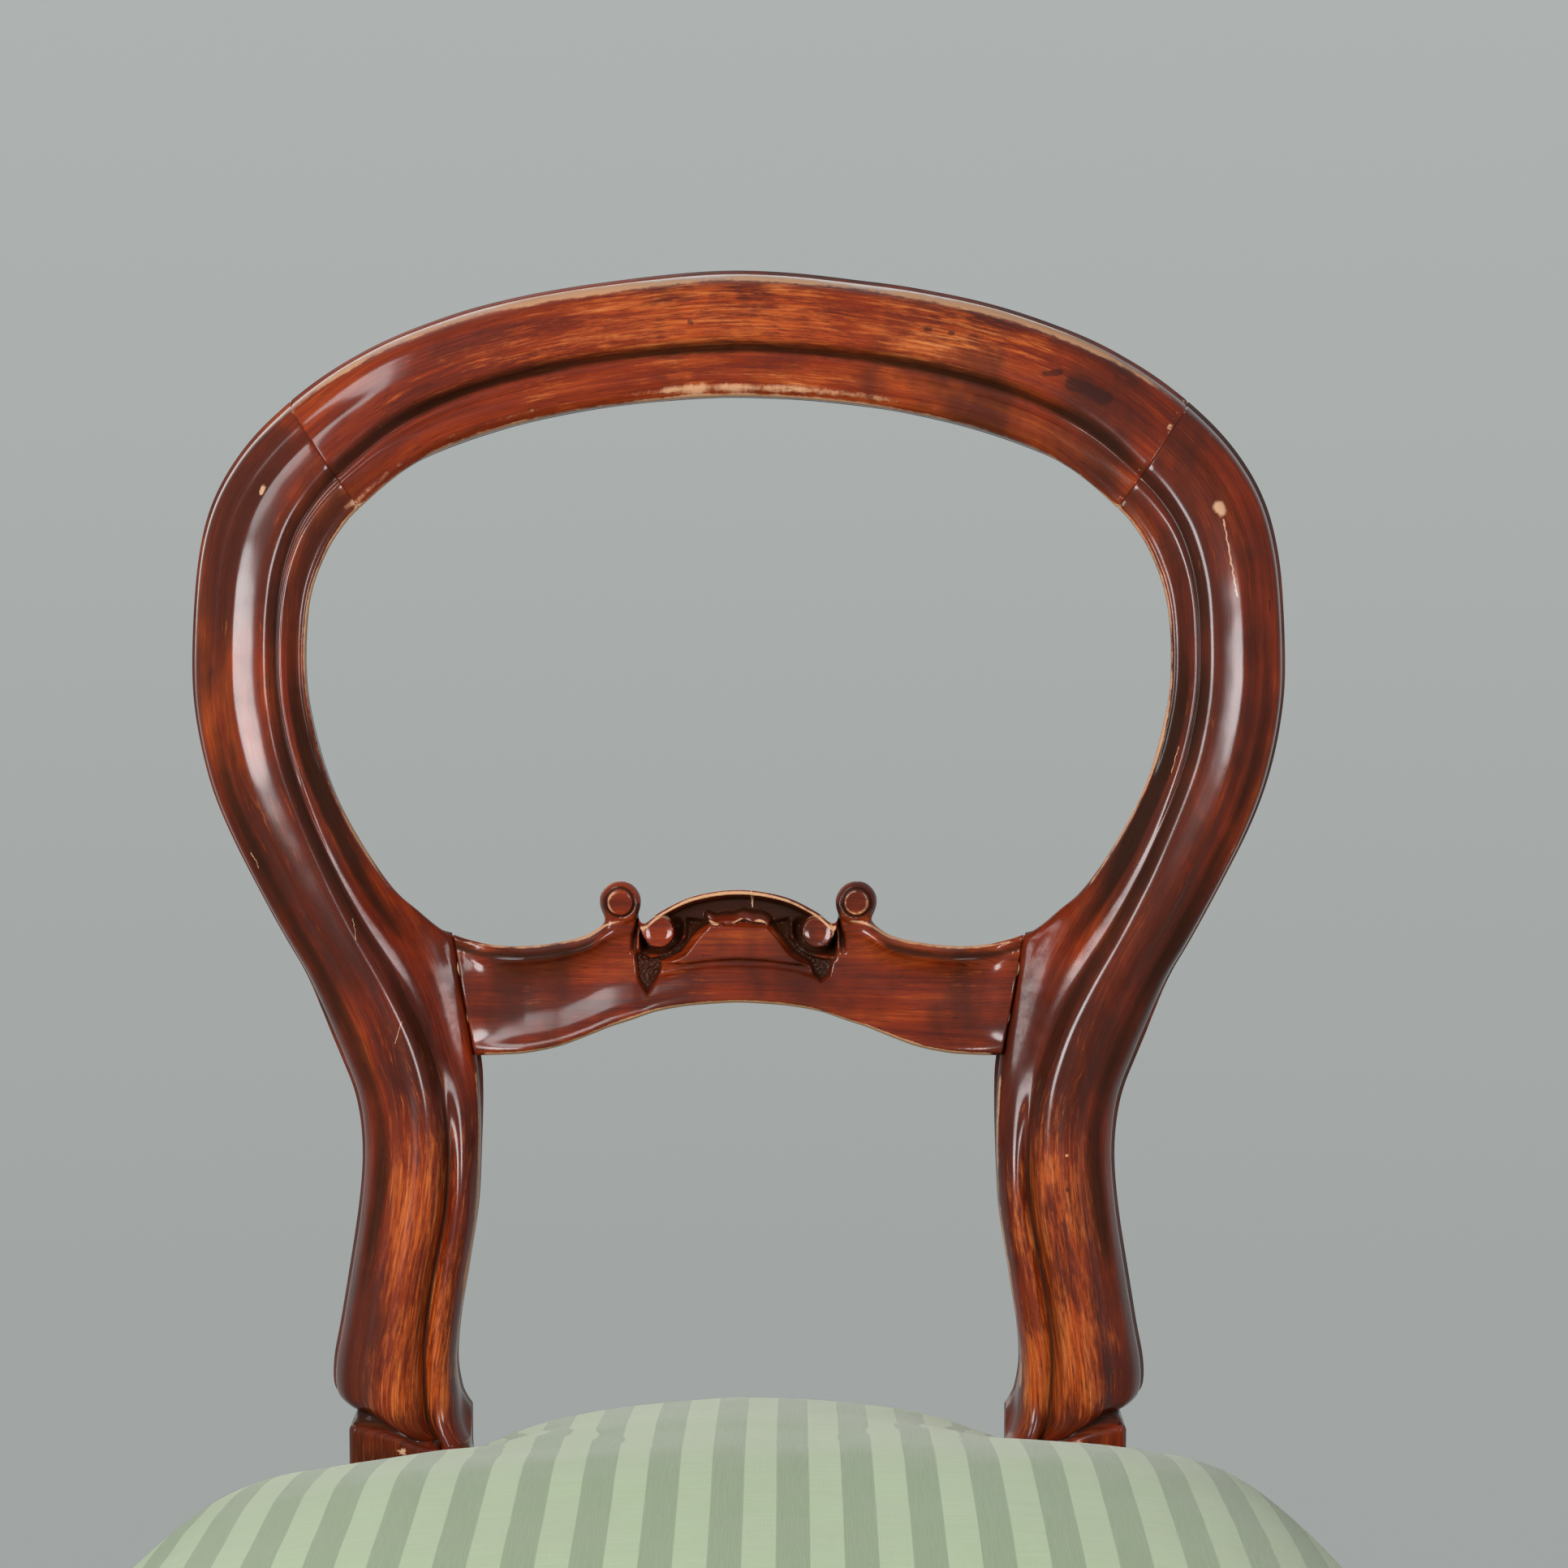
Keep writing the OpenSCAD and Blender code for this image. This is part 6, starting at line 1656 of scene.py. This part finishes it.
def web_x(j, y):
    """Where the j-th long web lies across the seat, at a place from front to back."""
    t = (y - FRONT_TACK_Y) / (REAR_TACK_Y - FRONT_TACK_Y)
    return BLOCK_IN * (WEB_FRONT[j] + (WEB_REAR[j] - WEB_FRONT[j]) * t)


def strap(path, side_way, start):
    """A flat strap along a path: its lower face lies on the path."""
    half, t = WEB_W / 2, WEB_T - 0.06
    section = [(-half, 0.35), (-half + 0.5, 0.06)]
    section += [(x, 0.03) for x in np.linspace(-half + 2, half - 2, 21)]
    section += [(half - 0.5, 0.06), (half, 0.35), (half, t - 0.3), (half - 0.5, t - 0.03)]
    section += [(x, t) for x in np.linspace(half - 2, -half + 2, 21)]
    section += [(-half + 0.5, t - 0.03), (-half, t - 0.3)]
    s, h = np.array(section).T
    rings = path[:, None] + side_way[None, None] * s[None, :, None]
    rings[..., 2] += h
    points, faces, _ = solid_part(rings)
    along = np.repeat(along_line(path)[:, None] + start, len(s), 1)
    grain = np.stack([along, np.tile(s, (len(path), 1))], 2).reshape(-1, 2)
    return points, faces, np.concatenate([grain, grain[:1], grain[-1:]])


print("long webs at the front:", [round(web_x(j, FRONT_TACK_Y)) for j in range(4)])

# %% Four long webs and four cross webs, woven over and under
long_webs = []
for j in range(4):
    a = np.array([web_x(j, FRONT_TACK_Y), FRONT_TACK_Y])
    b = np.array([web_x(j, REAR_TACK_Y), REAR_TACK_Y])
    way = (b - a) / np.linalg.norm(b - a)
    share = np.linspace(0, 1, WEB_STEPS)[:, None]
    flat = (a - way * WEB_END) * (1 - share) + (b + way * WEB_END) * share
    path = np.concatenate([flat, np.full((WEB_STEPS, 1), WEB_FLOOR)], 1)
    long_webs.append(strap(path, np.array([way[1], -way[0], 0]), 500.0 * j))
# The middle of the side rail, from the post's end to the front leg's block
side_mid = inset_line(seat_curve(3), RAIL_INSET + RAIL_THICK / 2)[3:29]
cross_webs = []
for k, y in enumerate(CROSS_Y):
    reach = np.interp(y, side_mid[::-1, 1], side_mid[::-1, 0])
    end, last, flat = reach + WEB_END, reach - RAIL_THICK, 1.18 * WEB_W / 2
    line = [[-end, 0], [-last, 0]]
    for j in range(4):
        over = (1 if (j + k) % 2 == 0 else -1) * (WEB_T + 0.1)
        line += [[web_x(j, y) - flat, over], [web_x(j, y) + flat, over]]
    line = settled(resample(np.array(line + [[last, 0], [end, 0]]), 3), 1, [1])
    path = np.stack([line[:, 0], np.full(len(line), y), WEB_FLOOR + line[:, 1]], 1)
    cross_webs.append(strap(path, np.array([0.0, -1.0, 0.0]), 500.0 * k + 2500))
print("straps:", len(long_webs), "and", len(cross_webs))

# %% The webs as two pieces
webs = []
for name, parts, node in (("long_webs", long_webs, "webbing_front_to_back"),
                          ("cross_webs", cross_webs, "webbing_side_to_side")):
    piece = joined(name, parts)
    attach(piece, "root")
    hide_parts(node)
    webs.append(piece)
    print(name, len(piece.data.polygons), "faces,", volume_of(piece), "cm3")

# %% [markdown]
# ## Hessian
# A sheet of open hessian is strained over the springs and tacked on the rails, and the stuffing
# lies on it. It is flat, so it needs no simulation: its outline follows the rails and leaves out
# the post blocks, and rings from the middle to that outline make it a thin closed sheet.

# %% Hessian sheet over the springs
HESSIAN_RINGS, HESSIAN_LOW, HESSIAN_HIGH = 26, RAIL_TOP + 0.06, RAIL_TOP + 1.12


def hessian_outline():
    """Its closed outline on the rails, with the notches round the post blocks."""
    back_y = POST_MID + RAIL_THICK / 2
    clear = COVER_T + 0.3
    side = inset_line(seat_curve(6), RAIL_INSET + 0.3)
    side = side[side[:, 1] < NOTCH_Y - clear - 0.5]
    rear = [[0, back_y], [NOTCH_X - clear, back_y], [NOTCH_X - clear, NOTCH_Y - clear],
            [BLOCK_OUT - 7.6, NOTCH_Y - clear]]
    half = resample(np.concatenate([rear, side]), 6)
    return np.concatenate([half, half[-2:0:-1] * np.array([-1, 1])])


def hessian_rings(line):
    """Rings from the middle out over the upper face, and back in over the lower one."""
    out = np.linspace(0.04, 1, HESSIAN_RINGS)
    rings = []
    for z, shares in ((HESSIAN_HIGH, out), (HESSIAN_LOW, out[::-1])):
        for share in shares:
            flat = SEAT_MID + (line - SEAT_MID) * share
            rings.append(np.concatenate([flat, np.full((len(flat), 1), z)], 1))
    return np.array(rings)


line = hessian_outline()
next_x, next_y = np.roll(line, -1, axis=0).T
area = 0.5 * abs(np.sum(line[:, 0] * next_y - next_x * line[:, 1]))
hessian = loft("hessian_sheet", hessian_rings(line), flip=True)
map_cloth(hessian, corners(hessian)[:, :2])
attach(hessian, "root")
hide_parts("spring_hessian")
size = line.max(0) - line.min(0)
print("hessian:", len(hessian.data.polygons), "faces,", round(area / 100), "cm2,",
      volume_of(hessian), "cm3")

# %% [markdown]
# ## Jute, steel and plain wood
# What lies under a seat is left rough: herringbone webs with a dark selvedge, open hessian, steel
# that has rusted in spots, and sawn wood gone grey. Modelled threads would be far too many, and the
# parts are seen only from below. So threads are waves over the strap's or the sheet's map, and rust
# and grime are slow noise.

# %% Jute webbing
def jute_web():
    f = Finish("jute_web", roughness=0.9)
    web = f.uv()
    u, v = f.part(web, 0), f.part(web, 1)
    zigzag = f.add("Math", {"operation": "PINGPONG"}, {0: v, 1: 0.0028})
    rib = ((u * 2900 + zigzag * 2900).wave() * 0.5 + 0.5)
    yarn = ((v * 4200).wave() * 0.5 + 0.5)
    fibre = f.grains(web, (260, 1800, 1), 4, 0.7, 3.0)
    edge = f.add("Math", {"operation": "ABSOLUTE"}, {0: v}).rise(0.0165, 0.0175)
    colour = f.mix(rib * 0.5 + fibre * 0.5, rgb(116, 92, 58), rgb(186, 160, 112))
    colour = f.mix(edge * 0.6, colour, rgb(96, 60, 40))
    age = f.grains(f.place(), (30, 30, 30), 4, 0.6, 8.0)
    colour = f.mix((age - 0.42).clip() * 1.6, colour, rgb(94, 74, 50))
    height = rib * 0.7 + yarn * 0.3 + fibre * 0.5
    return f.show(**{"Base Color": colour, "Normal": f.bump(height, 0.0005, 0.9)})


webbing = jute_web()
for piece in webs:
    piece.data.materials.append(webbing)
print("webbing nodes:", len(webbing.node_tree.nodes))


# %% Hessian cloth
def hessian_cloth():
    f = Finish("hessian_cloth", roughness=0.92)
    cloth = f.uv()
    u, v = f.part(cloth, 0), f.part(cloth, 1)
    warp = (u * 3300).wave() * 0.5 + 0.5
    weft = (v * 3300).wave() * 0.5 + 0.5
    slub = f.grains(cloth, (400, 90, 1), 3, 0.6, 1.0)
    weave = warp.most(weft)
    hole = 1 - weave.rise(0.15, 0.45)
    colour = f.mix(slub, rgb(128, 102, 66), rgb(184, 156, 110))
    colour = f.mix(hole * 0.8, colour, rgb(52, 42, 32))
    return f.show(**{"Base Color": colour, "Normal": f.bump(weave + slub * 0.4, 0.0004, 0.9)})


hessian.data.materials.append(hessian_cloth())
print("hessian finish:", hessian.data.materials[0].name)


# %% Old steel
def old_steel(name, light, dark, rough):
    f = Finish(name, metallic=0.9)
    where = f.place()
    patch = f.grains(where, (70, 70, 70), 4, 0.65, 5.0)
    fine = f.grains(where, (700, 700, 700), 3, 0.6, 1.0)
    rust = (patch * 0.6 + fine * 0.4).rise(0.54, 0.66)
    colour = f.mix(fine, dark, light)
    colour = f.mix(rust * 0.7, colour, rgb(112, 66, 42))
    return f.show(**{"Base Color": colour, "Roughness": rough + rust * 0.4,
                     "Metallic": 0.95 - rust * 0.75, "Normal": f.bump(fine + patch, 0.0001, 0.5)})


springs.data.materials.append(old_steel("spring_wire", rgb(176, 150, 126), rgb(96, 82, 72), 0.34))
print("spring finish:", springs.data.materials[0].name)


# %% Plain wood
def plain_wood(name, along, pale, deep, rough=0.7):
    f = Finish(name)
    where = f.place()
    grain = f.add("Mapping", {}, {0: where, 2: along})
    ring = f.grains(grain, (6, 120, 60), 4, 0.6, 2.0)
    fibre = f.grains(grain, (30, 1500, 900), 3, 0.6, 7.0)
    saw = f.grains(grain, (900, 20, 20), 2, 0.5, 4.0)
    grime = f.grains(where, (26, 26, 26), 4, 0.6, 3.0)
    colour = f.mix(ring * 0.7 + fibre * 0.3, deep, pale)
    colour = f.mix((grime - 0.4).clip() * 1.8, colour, rgb(70, 48, 30))
    return f.show(**{"Base Color": colour, "Roughness": rough + grime * 0.15,
                     "Normal": f.bump(fibre * 0.6 + saw * 0.4, 0.00025, 0.7)})


QUARTER = math.pi / 2
print("grain turns by", round(math.degrees(QUARTER)), "degrees for the side rails")

# %% [markdown]
# ## Finishes for the packed solids
# Seat rails, dowels, corner blocks, screws and tacks keep their packed solids, which have the real
# shapes already. They only get a finish, and the sawn pieces get a fine bevel, since no real edge
# is quite sharp.

# %% Dressing the packed solids
dressing = {
    "front_seat_rail": polished_wood("rail_polish_across", (0, 0, 0)),
    "left_seat_rail": polished_wood("rail_polish_left", (0, 0, -QUARTER)),
    "right_seat_rail": polished_wood("rail_polish_right", (0, 0, QUARTER)),
    "back_seat_rail": plain_wood("back_rail_wood", (0, 0, 0), rgb(150, 108, 70), rgb(104, 70, 42)),
    "dowel": plain_wood("dowel_birch", (0, 0, 0), rgb(206, 176, 130), rgb(176, 140, 96), 0.6),
    "screws": old_steel("screw_iron", rgb(150, 146, 140), rgb(84, 80, 76), 0.42),
    "tacks": old_steel("blued_tack", rgb(74, 78, 90), rgb(34, 36, 44), 0.38),
    "corner_block": plain_wood("block_wood", (0, 0, 0.7), rgb(168, 128, 84), rgb(118, 84, 52))}
for name in nodes:
    piece = bpy.data.objects.get(name)
    finish = next((m for key, m in dressing.items() if key in name), None)
    if piece and finish:
        piece.data.materials.clear()
        piece.data.materials.append(finish)
        if "rail" in name or "block" in name and "screws" not in name:
            soft = piece.modifiers.new("soft_edges", "BEVEL")
            soft.width, soft.segments, soft.limit_method = 0.0005, 2, "ANGLE"
        print(name, "->", finish.name)

# %% [markdown]
# ## Floor, light and camera
# A long lens looks slightly down at the back. A large soft lamp from the front left and a smaller
# one from the right draw the broad pale lights along the polish, and a weak one behind parts the
# rims from the ground. A lit sky alone would leave the polish without form. The floor carries the
# shadow near the chair and fades into the backdrop further out.

# %% Camera and lamps
FRAME_PIXELS, LENS_PIXELS, SENSOR, TILT = 1932, 5000, 36, 5.9
camera = bpy.data.objects.new("camera", bpy.data.cameras.new("camera"))
camera.location = (0.0175, -1.365, 0.845)
camera.rotation_euler = (math.radians(90 - TILT), 0, 0)
camera.data.sensor_width, camera.data.lens = SENSOR, SENSOR * LENS_PIXELS / FRAME_PIXELS
bpy.context.scene.collection.objects.link(camera)
bpy.context.scene.camera = camera


def lamp(name, place, aim, size, watts, colour=(1, 1, 1)):
    """A round soft lamp that shines from a place towards an aim."""
    light = bpy.data.lights.new(name, "AREA")
    light.shape, light.size, light.size_y = "ELLIPSE", size, size
    light.energy, light.color = watts, colour
    holder = bpy.data.objects.new(name, light)
    holder.location = place
    holder.rotation_euler = (Vector(aim) - Vector(place)).to_track_quat("-Z", "Y").to_euler()
    bpy.context.scene.collection.objects.link(holder)


lamp("front_left", (-1.15, -1.9, 1.35), (0, 0.15, 0.7), 0.95, 47)
lamp("front_right", (1.07, -1.85, 1.3), (0, 0.15, 0.7), 0.62, 21, (1, 0.95, 0.96))
lamp("above", (-0.9, -1.5, 2.2), (0, 0.15, 0.75), 0.8, 16)
lamp("behind", (-0.6, 2.4, 1.6), (0, 0.1, 0.5), 2.4, 12, (1, 0.88, 0.78))
print("lens:", round(camera.data.lens, 1), "mm, lamps:", len(bpy.data.lights))


# %% Backdrop: a soft gradient that the camera and the polish see, and an even light
def seen_rays(f):
    """1 for rays from the camera, and for mirrored and refracted ones."""
    names = ("Is Camera Ray", "Is Glossy Ray", "Is Transmission Ray")
    camera_ray, glossy, through = [f.add("LightPath", out=name) for name in names]
    return (camera_ray + glossy + through).clip()


world = bpy.data.worlds.new("studio")
bpy.context.scene.world = world
world.use_nodes = True
# The world's tree takes nodes as a finish does, but it has no surface of its own
sky = Finish.__new__(Finish)
sky.tree = world.node_tree
height = sky.part(sky.add("TexCoord", out="Generated"), 2)
shade = sky.add("ValToRGB", {"stops": [(0.0, rgb(158, 162, 160)), (0.375, rgb(161, 165, 163)),
                                       (0.55, rgb(171, 175, 174)), (0.70, rgb(178, 181, 181))]},
                {0: height * 0.8 + 0.55})
seen_shader = sky.add("Background", {}, {0: shade, 1: 1.0})
light_shader = sky.add("Background", {}, {0: rgb(206, 208, 210), 1: 0.14})
mixed = sky.add("MixShader", {}, {0: seen_rays(sky), 1: light_shader, 2: seen_shader})
sky.tree.links.new(mixed.socket, sky.tree.nodes["World Output"].inputs[0])
print("sky nodes:", len(sky.tree.nodes))

# %% Floor
FLOOR_RADIUS, FADE_FROM, FADE_TO = 3.0, 0.55, 1.35
floor_mesh = bpy.data.meshes.new("floor")
built = bmesh.new()
bmesh.ops.create_circle(built, cap_ends=True, segments=96, radius=FLOOR_RADIUS)
built.to_mesh(floor_mesh)
built.free()
floor = bpy.data.objects.new("floor", floor_mesh)
bpy.context.scene.collection.objects.link(floor)
ground = Finish("pale_floor", roughness=0.8)
distance = ground.add("VectorMath", {"operation": "LENGTH"}, {0: ground.place()}, out=1)
below = ground.add("NewGeometry", out="Backfacing")
gone = seen_rays(ground) * distance.rise(FADE_FROM, FADE_TO).most(below)
ground.show(**{"Base Color": rgb(176, 180, 178)})
clear = ground.add("BsdfTransparent")
surface = Wire(ground, ground.surface.outputs[0])
blend = ground.add("MixShader", {}, {0: gone, 1: surface, 2: clear})
ground.tree.links.new(blend.socket, ground.tree.nodes["Material Output"].inputs[0])
floor.data.materials.append(ground.material)
bpy.context.scene.view_settings.view_transform = "Standard"
print("floor:", round(floor.dimensions.x, 1), "m wide")
